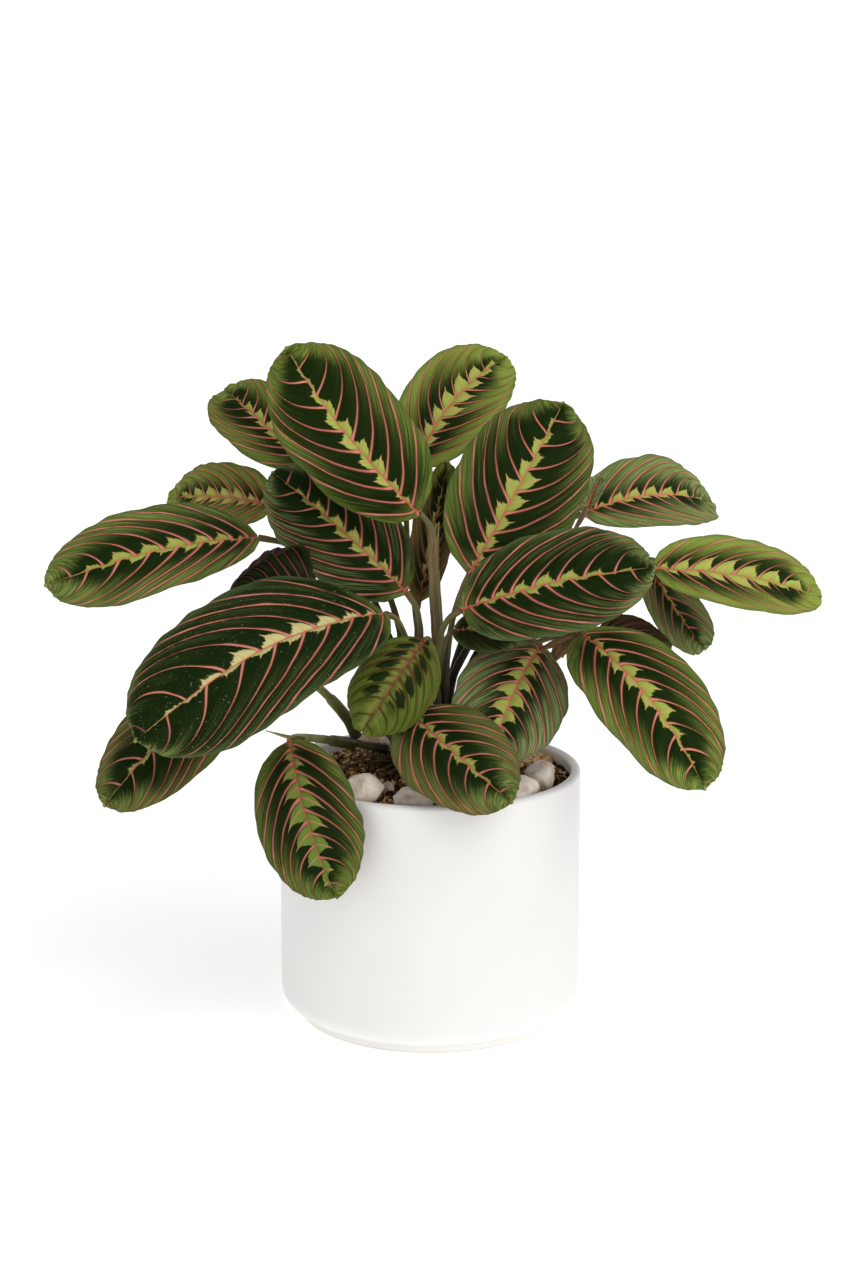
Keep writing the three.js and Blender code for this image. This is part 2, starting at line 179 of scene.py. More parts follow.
# ---------------------------------------------------------------------------------------
# The soil: a gritty potting mix of bark crumbs, coir and fired clay. It lies a little
# below the rim and mounds up towards the crown, with loose crumbs over darker gaps.
# ---------------------------------------------------------------------------------------
SOIL_BELOW_RIM = 5 * MM
SOIL_FLAT_RADIUS = 22 * MM
SOIL_CLEARANCE = 0.4 * MM
SOIL_SEGMENTS = 150
SOIL_ROUGHNESS = 1.7 * MM
SOIL_SETTLING = 0.8 * MM
CLOD_SIZE = 9 * MM
CRUMB_SIZE = 3.5 * MM
# where the painted shade round the crown's foot is centred, where it is fullest and where it ends
PAINTED_SHADE_CENTRE = (-8 * MM, -4 * MM, 112 * MM)
PAINTED_SHADE_CORE = 14 * MM
PAINTED_SHADE_REACH = 28 * MM
GRAIN_DEPTH = 2 * MM
GRAIN_RIM_GAP = 1.5 * MM
GRAIN_SHAPE_SEED = 3
GRAIN_TONE_SEED = 5
soil_low, soil_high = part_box("soil")
soil_radius = POT_RADIUS - POT_WALL - SOIL_CLEARANCE
soil_edge = POT_HEIGHT - SOIL_BELOW_RIM


def soil_height(distance):
    """The height of the soil at a distance from the pot's axis."""
    share = np.clip((distance - SOIL_FLAT_RADIUS) / (soil_radius - SOIL_FLAT_RADIUS), 0, 1)
    return soil_edge + (soil_high.z - soil_edge) * (1 + np.cos(np.pi * share)) / 2


def new_tree(name, inputs):
    """An empty tree of geometry nodes, and what its named inputs give."""
    tree = bpy.data.node_groups.new(name, "GeometryNodeTree")
    tree.interface.new_socket(name="Geometry", in_out="INPUT", socket_type="NodeSocketGeometry")
    for label, kind in inputs.items():
        tree.interface.new_socket(name=label, in_out="INPUT", socket_type="NodeSocket" + kind)
    tree.interface.new_socket(name="Geometry", in_out="OUTPUT", socket_type="NodeSocketGeometry")
    given = add(tree, "NodeGroupInput").node.outputs
    return tree, given


def shaped(name, source, tree, values):
    """A piece from a source mesh and a tree, with the tree's inputs given by name."""
    holder = bpy.data.objects.new(name + "_source", source)
    collection.objects.link(holder)
    modifier = holder.modifiers.new(tree.name, "NODES")
    modifier.node_group = tree
    for socket in tree.interface.items_tree:
        if socket.in_out == "INPUT" and socket.name in values:
            modifier[socket.identifier] = values[socket.name]
    depsgraph = bpy.context.evaluated_depsgraph_get()
    mesh = bpy.data.meshes.new_from_object(holder.evaluated_get(depsgraph), preserve_all_data_layers=True,
                                           depsgraph=depsgraph)
    bpy.data.objects.remove(holder)
    piece = placed(name, mesh)
    return piece


# Damp potting mix: nearly black in the gaps and brown on the crumbs, with no shine.
# Each crumb has its own tone, from dark bark to golden tan grit. Round the crown's foot
# the mix is painted darker, as shade under the leaves and stalks.
mix, tree = finish_of("damp bark and coir mix")
place = add(tree, "ShaderNodeTexCoord").node.outputs["Object"]
tone = add(tree, "ShaderNodeAttribute", attribute_name="tone").node.outputs["Fac"]
grain = add(tree, "ShaderNodeTexNoise",
            {"Vector": place, "Scale": 1 / (1.1 * MM), "Detail": 4, "Roughness": 0.7})
clump = add(tree, "ShaderNodeTexNoise", {"Vector": place, "Scale": 1 / (7 * MM), "Detail": 2})
clump = add(tree, "ShaderNodeMapRange", {0: clump, 1: 0.35, 2: 0.65, 3: -0.22, 4: 0.16})
# painted shade: the soil darkens towards the crown's foot, where the leaves and stalks shade it
crown_shade = add(tree, "ShaderNodeVectorMath", {0: place, 1: PAINTED_SHADE_CENTRE}, operation="DISTANCE")
crown_shade = crown_shade.node.outputs["Value"]
crown_shade = add(tree, "ShaderNodeMapRange", {0: crown_shade, 1: PAINTED_SHADE_CORE, 2: PAINTED_SHADE_REACH, 3: 0.3, 4: 1.0})
tone_and_painted_light = add(tree, "ShaderNodeMath", {0: grain, 1: 0.3, 2: tone}, operation="MULTIPLY_ADD")
tone_and_painted_light = add(tree, "ShaderNodeMath", {0: tone_and_painted_light, 1: clump}, operation="ADD")
tone_and_painted_light = add(tree, "ShaderNodeMath", {0: tone_and_painted_light, 1: crown_shade}, operation="MULTIPLY")
ramp = add(tree, "ShaderNodeValToRGB", {0: tone_and_painted_light}, stops=(
    (0.16, "#0c0805"), (0.4, "#3f2b17"), (0.66, "#855f33"), (0.88, "#b98f55"), (1.0, "#dcc090")))
rough = add(tree, "ShaderNodeMapRange", {0: grain, 3: 0.8, 4: 0.98})
surfaced(tree, (0.6, 0.3 * MM, grain), {
    "Base Color": ramp, "Roughness": rough, "IOR": 1.45, "Specular IOR Level": 0.25})

soil_profile = [(0, soil_low.z)]
soil_profile += arc(soil_radius - POT_INNER_CORNER, soil_low.z + POT_INNER_CORNER, POT_INNER_CORNER,
                    -90, 0, 5)
soil_profile += [(distance, soil_height(distance)) for distance in np.linspace(soil_radius, 0, 54)]
soil_mesh = turned("potting_soil", soil_profile, SOIL_SEGMENTS)
for vertex in soil_mesh.vertices:
    if vertex.co.z > soil_edge - MM:
        bump = noise.noise(vertex.co / CLOD_SIZE) + 0.6 * noise.noise(vertex.co / CRUMB_SIZE)
        vertex.co.z += SOIL_ROUGHNESS * bump - SOIL_SETTLING
soil_mesh.materials.append(mix)
soil = placed("potting_soil", soil_mesh)
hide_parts("soil")

# Loose grains: spread over the soil's top, each turned, sized and crumbled on its own.
grain_sizes = ("Smallest", "Largest", "Grains per area", "Lowest", "Widest", "Spread", "Darkest", "Lightest")
grains, given = new_tree("loose grains", {
    **dict.fromkeys(grain_sizes, "Float"), "Middle": "Vector", "Seed": "Int", "Finish": "Material"})
tree = grains
place = add(tree, "GeometryNodeInputPosition")
level = add(tree, "ShaderNodeSeparateXYZ", {0: place}).node.outputs["Z"]
flat = add(tree, "ShaderNodeVectorMath", {0: place, 1: (1, 1, 0)}, operation="MULTIPLY")
away = add(tree, "ShaderNodeVectorMath", {0: flat}, operation="LENGTH").node.outputs["Value"]
high = add(tree, "ShaderNodeMath", {0: level, 1: given["Lowest"]}, operation="GREATER_THAN")
within = add(tree, "ShaderNodeMath", {0: away, 1: given["Widest"]}, operation="LESS_THAN")
chosen = add(tree, "ShaderNodeMath", {0: high, 1: within}, operation="MULTIPLY")
offset = add(tree, "ShaderNodeVectorMath", {0: flat, 1: given["Middle"]}, operation="DISTANCE")
offset = offset.node.outputs["Value"]
near = add(tree, "ShaderNodeMapRange", {0: offset, 1: given["Spread"], 2: 0.0},
           interpolation_type="SMOOTHSTEP")
dense = add(tree, "ShaderNodeMath", {0: near, 1: given["Grains per area"]}, operation="MULTIPLY")
scatter = add(tree, "GeometryNodeDistributePointsOnFaces", {
    "Mesh": given["Geometry"], "Selection": chosen, "Density": dense, "Seed": given["Seed"]})
ball = add(tree, "GeometryNodeMeshIcoSphere", {"Radius": 0.5, "Subdivisions": 1})
turn = add(tree, "FunctionNodeRandomValue", {1: (6.28, 6.28, 6.28), "Seed": given["Seed"]},
           data_type="FLOAT_VECTOR")
size = add(tree, "FunctionNodeRandomValue",
           {2: given["Smallest"], 3: given["Largest"], "Seed": given["Seed"]})
squat = add(tree, "FunctionNodeRandomValue",
            {0: (0.8, 0.8, 0.75), 1: (1.15, 1.1, 1.0), "Seed": GRAIN_SHAPE_SEED}, data_type="FLOAT_VECTOR")
sides = add(tree, "ShaderNodeVectorMath", {0: squat, "Scale": size}, operation="SCALE")
loose = add(tree, "GeometryNodeInstanceOnPoints",
            {"Points": scatter, "Instance": ball, "Rotation": turn, "Scale": sides})
tone = add(tree, "FunctionNodeRandomValue",
           {2: given["Darkest"], 3: given["Lightest"], "Seed": GRAIN_TONE_SEED})
toned = add(tree, "GeometryNodeStoreNamedAttribute", {"Geometry": loose, "Name": "tone", "Value": tone},
            domain="INSTANCE")
whole = add(tree, "GeometryNodeRealizeInstances", {0: toned})
lump = add(tree, "ShaderNodeTexNoise", {"Vector": place, "Scale": 1 / (1.2 * MM)}).node.outputs["Color"]
shift = add(tree, "ShaderNodeVectorMath", {0: lump, 1: (0.5, 0.5, 0.5)}, operation="SUBTRACT")
reach = add(tree, "ShaderNodeMath", {0: given["Smallest"], 1: 0.6}, operation="MULTIPLY")
shift = add(tree, "ShaderNodeVectorMath", {0: shift, "Scale": reach}, operation="SCALE")
uneven = add(tree, "GeometryNodeSetPosition", {"Geometry": whole, "Offset": shift})
uneven = add(tree, "GeometryNodeSetShadeSmooth", {"Geometry": uneven})
final = add(tree, "GeometryNodeSetMaterial", {"Geometry": uneven, "Material": given["Finish"]})
add(tree, "NodeGroupOutput", {0: final})

GRAIN_REGIONS = {
    "bark_crumbs": {"Smallest": 1.5 * MM, "Largest": 3.0 * MM, "Grains per area": 260000, "Spread": 200 * MM,
                    "Darkest": 0.15, "Lightest": 1.0, "Seed": 11},
    "fine_crumbs": {"Smallest": 0.8 * MM, "Largest": 1.6 * MM, "Grains per area": 420000, "Spread": 200 * MM,
                    "Darkest": 0.1, "Lightest": 0.9, "Seed": 23},
    "tan_grit": {"Smallest": 2.2 * MM, "Largest": 5.0 * MM, "Grains per area": 700000, "Spread": 22 * MM,
                 "Middle": (50 * MM, 32 * MM, 0), "Darkest": 0.72, "Lightest": 1.05, "Seed": 37},
}
for name, values in GRAIN_REGIONS.items():
    values = {"Middle": (0, 0, 0), "Lowest": soil_edge - GRAIN_DEPTH, "Widest": soil_radius - GRAIN_RIM_GAP,
              "Finish": mix, **values}
    shaped(name, soil_mesh.copy(), grains, values)


# ---------------------------------------------------------------------------------------
# The pebbles: river-worn quartz and limestone, cream to white with rusty brown stains,
# laid by hand round the rim as a top dressing and half bedded in the soil.
# ---------------------------------------------------------------------------------------
PEBBLE_SEED = 5
PEBBLE_FACES = 9
PEBBLE_FACINGS = (1, 1, 0.7)
PEBBLE_FACE_DEPTHS = (0.72, 0.88)
PEBBLE_WEAR = 0.85
PEBBLE_DENTS = 0.9 * MM
PEBBLE_GROWTH = 0.6 * MM

# Worn limestone: chalky cream with tan stains in soft blots, and a dull, dry surface.
limestone, tree = finish_of("river-worn cream limestone")
place = add(tree, "ShaderNodeTexCoord").node.outputs["Object"]
blot = add(tree, "ShaderNodeTexNoise",
           {"Vector": place, "Scale": 1 / (11 * MM), "Detail": 5, "Roughness": 0.62})
pit = add(tree, "ShaderNodeTexNoise",
          {"Vector": place, "Scale": 1 / (1.3 * MM), "Detail": 4, "Roughness": 0.7})
batch = add(tree, "ShaderNodeTexNoise", {"Vector": place, "Scale": 1 / (30 * MM), "Detail": 0})
stain = add(tree, "ShaderNodeMapRange", {0: blot, 1: 0.48, 2: 0.68, 3: 0.0, 4: 0.8})
batch = add(tree, "ShaderNodeMapRange", {0: batch, 1: 0.42, 2: 0.6, 3: 0.0, 4: 0.8})
stone = "#e6d8c2"
for strength, colour in ((pit, "#fffaf0"), (batch, "#c4ab88"), (stain, "#b08f68")):
    stone = add(tree, "ShaderNodeMix", {0: strength, 6: stone, 7: colour}, data_type="RGBA")
rough = add(tree, "ShaderNodeMapRange", {0: pit, 3: 0.5, 4: 0.7})
surfaced(tree, (0.35, 0.25 * MM, pit), {"Base Color": stone, "Roughness": rough, "IOR": 1.55})


def smoothed(node):
    """A frame node's mesh with its loose triangles joined, rounded by subdivision."""
    shape = bmesh.new()
    shape.from_mesh(nodes[node].data)
    bmesh.ops.remove_doubles(shape, verts=shape.verts, dist=0.001 * MM)
    source = bpy.data.meshes.new(node + "_joined")
    shape.to_mesh(source)
    shape.free()
    source.shade_smooth()
    holder = bpy.data.objects.new(node + "_source", source)
    collection.objects.link(holder)
    rounding = holder.modifiers.new("rounding", "SUBSURF")
    rounding.levels = 3
    rounding.render_levels = 3
    depsgraph = bpy.context.evaluated_depsgraph_get()
    mesh = bpy.data.meshes.new_from_object(holder.evaluated_get(depsgraph), depsgraph=depsgraph)
    bpy.data.objects.remove(holder)
    mesh.materials.clear()
    return mesh


draw = np.random.default_rng(PEBBLE_SEED)
for node in sorted(name for name in nodes if name.startswith("pebble_")):
    worn = smoothed(node)
    # each stone is worn nearly flat on a few sides, then dented
    places = np.array([vertex.co for vertex in worn.vertices])
    middle = (places.max(axis=0) + places.min(axis=0)) / 2
    for facing in draw.normal(size=(PEBBLE_FACES, 3)) * PEBBLE_FACINGS:
        facing /= np.linalg.norm(facing)
        height = (places - middle) @ facing
        over = np.maximum(0, height - height.max() * draw.uniform(*PEBBLE_FACE_DEPTHS))
        places -= PEBBLE_WEAR * over[:, None] * facing
    worn.vertices.foreach_set("co", places.ravel())
    worn.update()
    outward = [vertex.normal.copy() for vertex in worn.vertices]
    for vertex, normal in zip(worn.vertices, outward):
        dent = noise.noise(vertex.co / (6 * MM)) + 0.4 * noise.noise(vertex.co / (2.5 * MM))
        vertex.co += normal * (PEBBLE_DENTS * dent + PEBBLE_GROWTH)
    worn.materials.append(limestone)
    stone_piece = placed("worn_" + node, worn)
    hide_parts(node)


# ---------------------------------------------------------------------------------------
# The stalks: the plant's own thin leaf stems. Each leaves the crown in a clasping brown
# sheath, thins out above it, and swells into a short joint just below its blade.
# ---------------------------------------------------------------------------------------
RING_LIMIT = 4 * MM
BLADE_COLUMNS = 5
STALK_SIDES = 8
SLIM_STALKS = ("small_curled", "inner_small", "middle_back")
LIT_STALKS = ("lower_left", "front_left_hanging")
CLASPED_LENGTH = 6 * MM


def joined(node):
    """A frame node's points, each once, and its edges as neighbours of each point."""
    mesh = nodes[node].data
    corners = np.array([vertex.co for vertex in mesh.vertices], float)
    points, index = np.unique(corners.round(6), axis=0, return_inverse=True)
    faces = index.reshape(-1)[np.array([face.vertices[:] for face in mesh.polygons])]
    neighbours = [set() for _ in points]
    for face in faces:
        for corner in face:
            neighbours[corner].update(face)
    return points, neighbours


def rings(points, neighbours, first):
    """The rings of points that a rod or blade was built from, in order from the first."""
    found = [sorted(first)]
    seen = set(first)
    while found[-1]:
        beyond = set().union(*(neighbours[corner] for corner in found[-1])) - seen
        seen |= beyond
        found.append(sorted(beyond))
    return [points[ring] for ring in found[:-1]]


def furthest(points, heading, count):
    """The numbers of the points that lie furthest along a heading."""
    return list(np.argsort(points @ np.array(heading, float))[-count:])


leaf_names = sorted(name[len("leaf_"):] for name in nodes if name.startswith("leaf_"))
leaf_rings = {}
for leaf in leaf_names:
    points, neighbours = joined("leaf_" + leaf)
    spread = points - points.mean(axis=0)
    axis = np.linalg.svd(spread, full_matrices=False)[2][0]
    ends = [furthest(spread, way * axis, 2 * BLADE_COLUMNS) for way in (1, -1)]
    broad = max(ends, key=lambda end: np.ptp(points[end], axis=0).max())
    leaf_rings[leaf] = rings(points, neighbours, broad)


def centre_line(node, near, heading):
    """A rod's centre line, starting from the end that is near a point and looks along a heading."""
    points, neighbours = joined(node)
    close = np.flatnonzero(np.linalg.norm(points - near, axis=1) < RING_LIMIT)
    first = close[furthest(points[close], heading, STALK_SIDES)]
    return np.array([ring.mean(axis=0) for ring in rings(points, neighbours, list(first))])


stalk_lines = {}
for leaf in leaf_names:
    base, beyond = (ring.mean(axis=0) for ring in leaf_rings[leaf][:2])
    stalk_lines[leaf] = centre_line("stalk_" + leaf, base, beyond - base)[::-1]


# A stem along a path: thick in its sheath, thinner above, with a swollen joint at the end.
stem_sizes = ("Foot radius", "End radius", "Sheath share", "Sheath step", "Joint swelling", "Unevenness",
              "Step")
stem, given = new_tree("stem along a path", {
    **dict.fromkeys(stem_sizes, "Float"), "Sides": "Int", "Finish": "Material"})
tree = stem
line = add(tree, "GeometryNodeMeshToCurve", {0: given["Geometry"]})
line = add(tree, "GeometryNodeCurveSplineType", {0: line}, spline_type="CATMULL_ROM")
line = add(tree, "GeometryNodeResampleCurve", {"Curve": line, "Length": given["Step"]}, mode="LENGTH")
along = add(tree, "GeometryNodeSplineParameter").node.outputs["Factor"]
for name, value in (("along", along), ("length", along.node.outputs["Length"])):
    line = add(tree, "GeometryNodeStoreNamedAttribute", {"Geometry": line, "Name": name, "Value": value})
radius = add(tree, "ShaderNodeMapRange", {0: along, 3: given["Foot radius"], 4: given["End radius"]})
over = add(tree, "ShaderNodeMath", {0: along, 1: given["Sheath share"]}, operation="SUBTRACT")
sheathed = add(tree, "ShaderNodeMapRange", {0: over, 1: 0.02, 2: -0.02}, interpolation_type="SMOOTHSTEP")
joint = add(tree, "ShaderNodeMapRange", {0: along, 1: 0.9, 2: 0.96}, interpolation_type="SMOOTHSTEP")
for share, step in ((sheathed, given["Sheath step"]), (joint, given["Joint swelling"])):
    radius = add(tree, "ShaderNodeMath", {0: share, 1: step, 2: radius}, operation="MULTIPLY_ADD")
place = add(tree, "GeometryNodeInputPosition")
section = add(tree, "GeometryNodeCurvePrimitiveCircle", {"Resolution": given["Sides"], "Radius": 1.0})
section = add(tree, "GeometryNodeStoreNamedAttribute",
              {"Geometry": section, "Name": "section", "Value": place}, data_type="FLOAT_VECTOR")
tube = add(tree, "GeometryNodeCurveToMesh",
           {"Curve": line, "Profile Curve": section, "Scale": radius, "Fill Caps": True})
swell = add(tree, "ShaderNodeTexNoise", {"Vector": place, "Scale": 1 / (5 * MM)})
swell = add(tree, "ShaderNodeMath", {0: swell, 1: 0.5}, operation="SUBTRACT")
swell = add(tree, "ShaderNodeMath", {0: swell, 1: given["Unevenness"]}, operation="MULTIPLY")
swell = add(tree, "ShaderNodeVectorMath",
            {0: add(tree, "GeometryNodeInputNormal"), "Scale": swell}, operation="SCALE")
tube = add(tree, "GeometryNodeSetPosition", {"Geometry": tube, "Offset": swell})
tube = add(tree, "GeometryNodeSetShadeSmooth", {"Geometry": tube})
final = add(tree, "GeometryNodeSetMaterial", {"Geometry": tube, "Material": given["Finish"]})
add(tree, "NodeGroupOutput", {0: add(tree, "GeometryNodeRealizeInstances", {0: final})})


def grown(name, line, finish, foot, end, values=None):
    """A stem along a line from its radii in millimetres: without a sheath or joint unless values say so."""
    values = {"Foot radius": foot * MM, "End radius": end * MM, "Sheath share": -1.0, "Sheath step": 0.0,
              "Joint swelling": 0.0, "Unevenness": 0.3 * MM, "Sides": 14, "Step": 1.2 * MM,
              "Finish": finish, **(values or {})}
    path = bpy.data.meshes.new(name)
    path.from_pydata([tuple(point) for point in line], [(i, i + 1) for i in range(len(line) - 1)], [])
    return shaped(name, path, stem, values)


def stem_grain(tree, closeness, length_of_fibre):
    """How far along its stem a place lies, and coordinates that draw a pattern out lengthwise."""
    along, length = (add(tree, "ShaderNodeAttribute", attribute_name=name).node.outputs["Fac"]
                     for name in ("along", "length"))
    section = add(tree, "ShaderNodeAttribute", attribute_name="section").node.outputs["Vector"]
    drawn = add(tree, "ShaderNodeCombineXYZ", {"Z": length})
    drawn = add(tree, "ShaderNodeVectorMath", {0: drawn, "Scale": 1 / length_of_fibre}, operation="SCALE")
    return along, add(tree, "ShaderNodeVectorMath", {0: section, 1: (closeness,) * 3, 2: drawn},
                      operation="MULTIPLY_ADD")


def retinted(finish, name, colours):
    """A copy of a finish under a new name, with other colours along the stem."""
    tinted = finish.copy()
    tinted.name = name
    ramp = next(node for node in tinted.node_tree.nodes if node.type == "VALTORGB").color_ramp
    for stop, colour in zip(ramp.elements, colours):
        stop.color = linear(colour)
    return tinted


# Stem skin: olive green to brown, brown in the sheath at the foot and painted near black
# there as shade among the crowded stalks, and reddish at the joint, with fine lengthwise
# fibres and a soft waxy gloss. The pale fibres are painted fewer at the foot for that shade.
skin, tree = finish_of("fibrous olive stem skin")
along, fibres = stem_grain(tree, 3.5, 14 * MM)
fibre = add(tree, "ShaderNodeTexNoise", {"Vector": fibres, "Scale": 1.3, "Detail": 3})
place = add(tree, "ShaderNodeTexCoord").node.outputs["Object"]
patch = add(tree, "ShaderNodeTexNoise", {"Vector": place, "Scale": 1 / (16 * MM), "Detail": 2})
dark = add(tree, "ShaderNodeMapRange", {0: patch, 1: 0.4, 2: 0.62, 3: 0.0, 4: 0.6})
light = add(tree, "ShaderNodeMapRange", {0: fibre, 1: 0.45, 2: 0.75, 3: 0.0, 4: 0.55})
fibres_out_of_shade = add(tree, "ShaderNodeMapRange", {0: along, 1: 0.15, 2: 0.6, 3: 0.12, 4: 1.0})
light = add(tree, "ShaderNodeMath", {0: light, 1: fibres_out_of_shade}, operation="MULTIPLY")
# painted shade: the ramp runs from near black at the foot, where the stalks shade one another, up to olive
stem_colour = add(tree, "ShaderNodeValToRGB", {0: along}, stops=(
    (0.0, "#0e0a06"), (0.3, "#231c10"), (0.6, "#4d4a2a"), (0.92, "#636138"), (1.0, "#6a4c32")))
for strength, colour in ((dark, "#3b3220"), (light, "#97905e")):
    stem_colour = add(tree, "ShaderNodeMix", {0: strength, 6: stem_colour, 7: colour}, data_type="RGBA")
surfaced(tree, (0.5, 0.15 * MM, fibre), {
    "Base Color": stem_colour, "Roughness": 0.5, "IOR": 1.45, "Specular IOR Level": 0.25})

# The two lowest stalks at the left stand in full light and are greener along their whole
# length; their ramp is painted lighter, with no painted shade at the foot, as light on them.
# The one that leaves the clasp at the top is brown where it comes out.
lit_green_skin = retinted(skin, "fibrous green stem skin painted lit",
                      ("#4c4e2c", "#7d8248", "#9aa05c", "#adb068", "#a98a5c"))
brown_skin = retinted(skin, "fibrous brown stem skin",
                      ("#75613d", "#6a5a38", "#5f5935", "#65603a", "#7a5a3a"))

for leaf, line in stalk_lines.items():
    foot, end, finish = (1.5, 0.9, skin) if leaf in SLIM_STALKS else (1.75, 1.25, skin)
    values = {"Sheath share": 0.34, "Sheath step": 0.55 * MM, "Joint swelling": 0.3 * MM,
              "Unevenness": 0.5 * MM}
    if leaf in LIT_STALKS:
        foot, end, finish = 2.3, 1.6, lit_green_skin
    if leaf == "top_left":
        foot, end, finish = 2.3, 1.1, brown_skin
        values.update({"Sheath share": -1.0, "Unevenness": 0.2 * MM})
        # its foot goes down inside the rolled sheath and leaves it straight upwards
        low, high = line[0] - (0, 0, CLASPED_LENGTH), line[-1]
        line = [low - (0, 0, 3 * MM), low, low + (high - low) * (0.25, 0.5, 0.5), high]
    stalk = grown("stem_" + leaf, line, finish, foot, end, values=values)
    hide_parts("stalk_" + leaf)

# The twig of the hanging leaf runs on past its blade into a dry point.
twig_end = stalk_lines["front_left_hanging"][-1]
twig_line = [twig_end + np.array(step) * MM for step in ((6, 3, -0.8), (-1, 1.5, 0.9), (-11, 1, 4))]
grown("twig_point", twig_line, lit_green_skin, foot=1.5, end=0.2, values={"Sides": 12})


# ---------------------------------------------------------------------------------------
# The rolled sheath: a new leaf's dry, ribbed, pale olive clasp round the tallest stalk,
# whose free end stands away as a thin spike. The clasp of a stalk at the right is dead,
# and hangs from it in brown papery shreds.
# ---------------------------------------------------------------------------------------
TOP_RING_CUT = 0.5
SPIKE_START = 0.66
SPIKE_PAST_TOP = 7 * MM
# where on its stalk's line each dead shred starts, how far off its end hangs, and its radius, in millimetres
DEAD_SHREDS = ((9, (-18, 2, -8), 2.8), (8, (-6, 0, -16), 3.4), (9, (-12, 0, -13), 3.2), (8, (0, 1, -13), 2.6))

# Papery clasp: straw and olive with close ribs, and hardly any gloss. The rib crests are
# painted pale as highlight and the furrows dark as shade, and the foot is painted near
# black as shade among the stalks.
papery, tree = finish_of("papery ribbed sheath")
along, ribs = stem_grain(tree, 5.0, 30 * MM)
rib = add(tree, "ShaderNodeTexNoise", {"Vector": ribs, "Scale": 1.4, "Detail": 3, "Roughness": 0.6})
# painted highlight on the rib crests, and painted shade in the furrows between them
lit = add(tree, "ShaderNodeMapRange", {0: rib, 1: 0.46, 2: 0.7, 3: 0.0, 4: 0.6})
shaded = add(tree, "ShaderNodeMapRange", {0: rib, 1: 0.5, 2: 0.32, 3: 0.0, 4: 0.85})
# painted shade: near black at the foot, lighter up the clasp
papery_colour = add(tree, "ShaderNodeValToRGB", {0: along}, stops=(
    (0.0, "#20180e"), (0.35, "#4a3e26"), (0.8, "#6b5b3a"), (1.0, "#76623f")))
for strength, colour in ((lit, "#a08e66"), (shaded, "#382c19")):
    papery_colour = add(tree, "ShaderNodeMix", {0: strength, 6: papery_colour, 7: colour}, data_type="RGBA")
surfaced(tree, (0.6, 0.2 * MM, rib), {
    "Base Color": papery_colour, "Roughness": 0.6, "IOR": 1.45, "Specular IOR Level": 0.25})

# Dead sheath: the same paper gone brown.
dry_papery = retinted(papery, "dead brown papery sheath", ("#3a2413", "#5d3c20", "#74512e", "#4a2f1a"))

points, neighbours = joined("rolled_sheath")
sheath_foot = points[furthest(points, (0, 0, -1), STALK_SIDES)].mean(axis=0)
sheath_line = centre_line("rolled_sheath", sheath_foot, (0, 0, -1))
sheath_line[-1] = sheath_line[-1] + (sheath_line[-2] - sheath_line[-1]) * TOP_RING_CUT
sheath = grown("clasping_sheath", sheath_line, papery, foot=3.8, end=2.3, values={
    "Sheath share": 0.12, "Sheath step": 0.5 * MM, "Unevenness": 0.7 * MM, "Sides": 28, "Step": 1.5 * MM})
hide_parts("rolled_sheath")
low = sheath_line[int(SPIKE_START * len(sheath_line))]
top = sheath_line[-1]
spike_line = [low, 0.5 * (low + top) + (1.3 * MM, -0.6 * MM, 0), top + (2.4 * MM, -0.4 * MM, 0),
              top + (2.9 * MM, 0, SPIKE_PAST_TOP)]
grown("sheath_spike", spike_line, papery, foot=1.7, end=0.25, values={"Unevenness": 0.2 * MM})

hang = stalk_lines["lower_right"]
for number, (start, drop, radius) in enumerate(DEAD_SHREDS, 1):
    drop = np.array(drop) * MM
    shred_line = [hang[start], hang[start] + 0.5 * drop + (1 * MM, -1 * MM, 0.5 * MM), hang[start] + drop]
    grown(f"dry_sheath_{number}", shred_line, dry_papery, foot=radius, end=0.9,
          values={"Unevenness": 1.6 * MM, "Step": 1.0 * MM})


# ---------------------------------------------------------------------------------------
# The crown: the short knotted rootstock that all stalks grow from, wrapped in the dry
# brown rags of old sheaths. A side shoot runs from it over the soil to the left.
# ---------------------------------------------------------------------------------------
CROWN_KNOBS = 3.2 * MM
CROWN_SEED = 41
RAG_COUNT = 34
ROOT_COUNT = 13

# Old rootstock: dark brown with paler broken fibres, dull and dry.
bark, tree = finish_of("fibrous brown rootstock")
place = add(tree, "ShaderNodeTexCoord").node.outputs["Object"]
upright = add(tree, "ShaderNodeVectorMath", {0: place, 1: (1.0, 1.0, 0.25)}, operation="MULTIPLY")
fibre = add(tree, "ShaderNodeTexNoise",
            {"Vector": upright, "Scale": 1 / (0.9 * MM), "Detail": 4, "Roughness": 0.65})
ramp = add(tree, "ShaderNodeValToRGB", {0: fibre}, stops=(
    (0.3, "#140e08"), (0.52, "#35261a"), (0.75, "#6d563a")))
surfaced(tree, (0.7, 0.4 * MM, fibre), {
    "Base Color": ramp, "Roughness": 0.85, "IOR": 1.45, "Specular IOR Level": 0.2})

knot = smoothed("crown")
outward = [vertex.normal.copy() for vertex in knot.vertices]
for vertex, normal in zip(knot.vertices, outward):
    vertex.co += normal * CROWN_KNOBS * noise.noise(vertex.co / (7 * MM))
knot.materials.append(bark)
crown = placed("knotted_rootstock", knot)
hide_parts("crown")

points, neighbours = joined("side_shoot")
shoot_start = points[furthest(points, (1, 0, 0), STALK_SIDES)].mean(axis=0)
shoot_line = centre_line("side_shoot", shoot_start, (1, 0, 0))
shoot = grown("creeping_side_shoot", shoot_line, skin, foot=2.2, end=1.8, values={
    "Sheath share": 0.4, "Sheath step": 0.3 * MM, "Joint swelling": 0.4 * MM, "Unevenness": 1.0 * MM,
    "Sides": 16})
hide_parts("side_shoot")

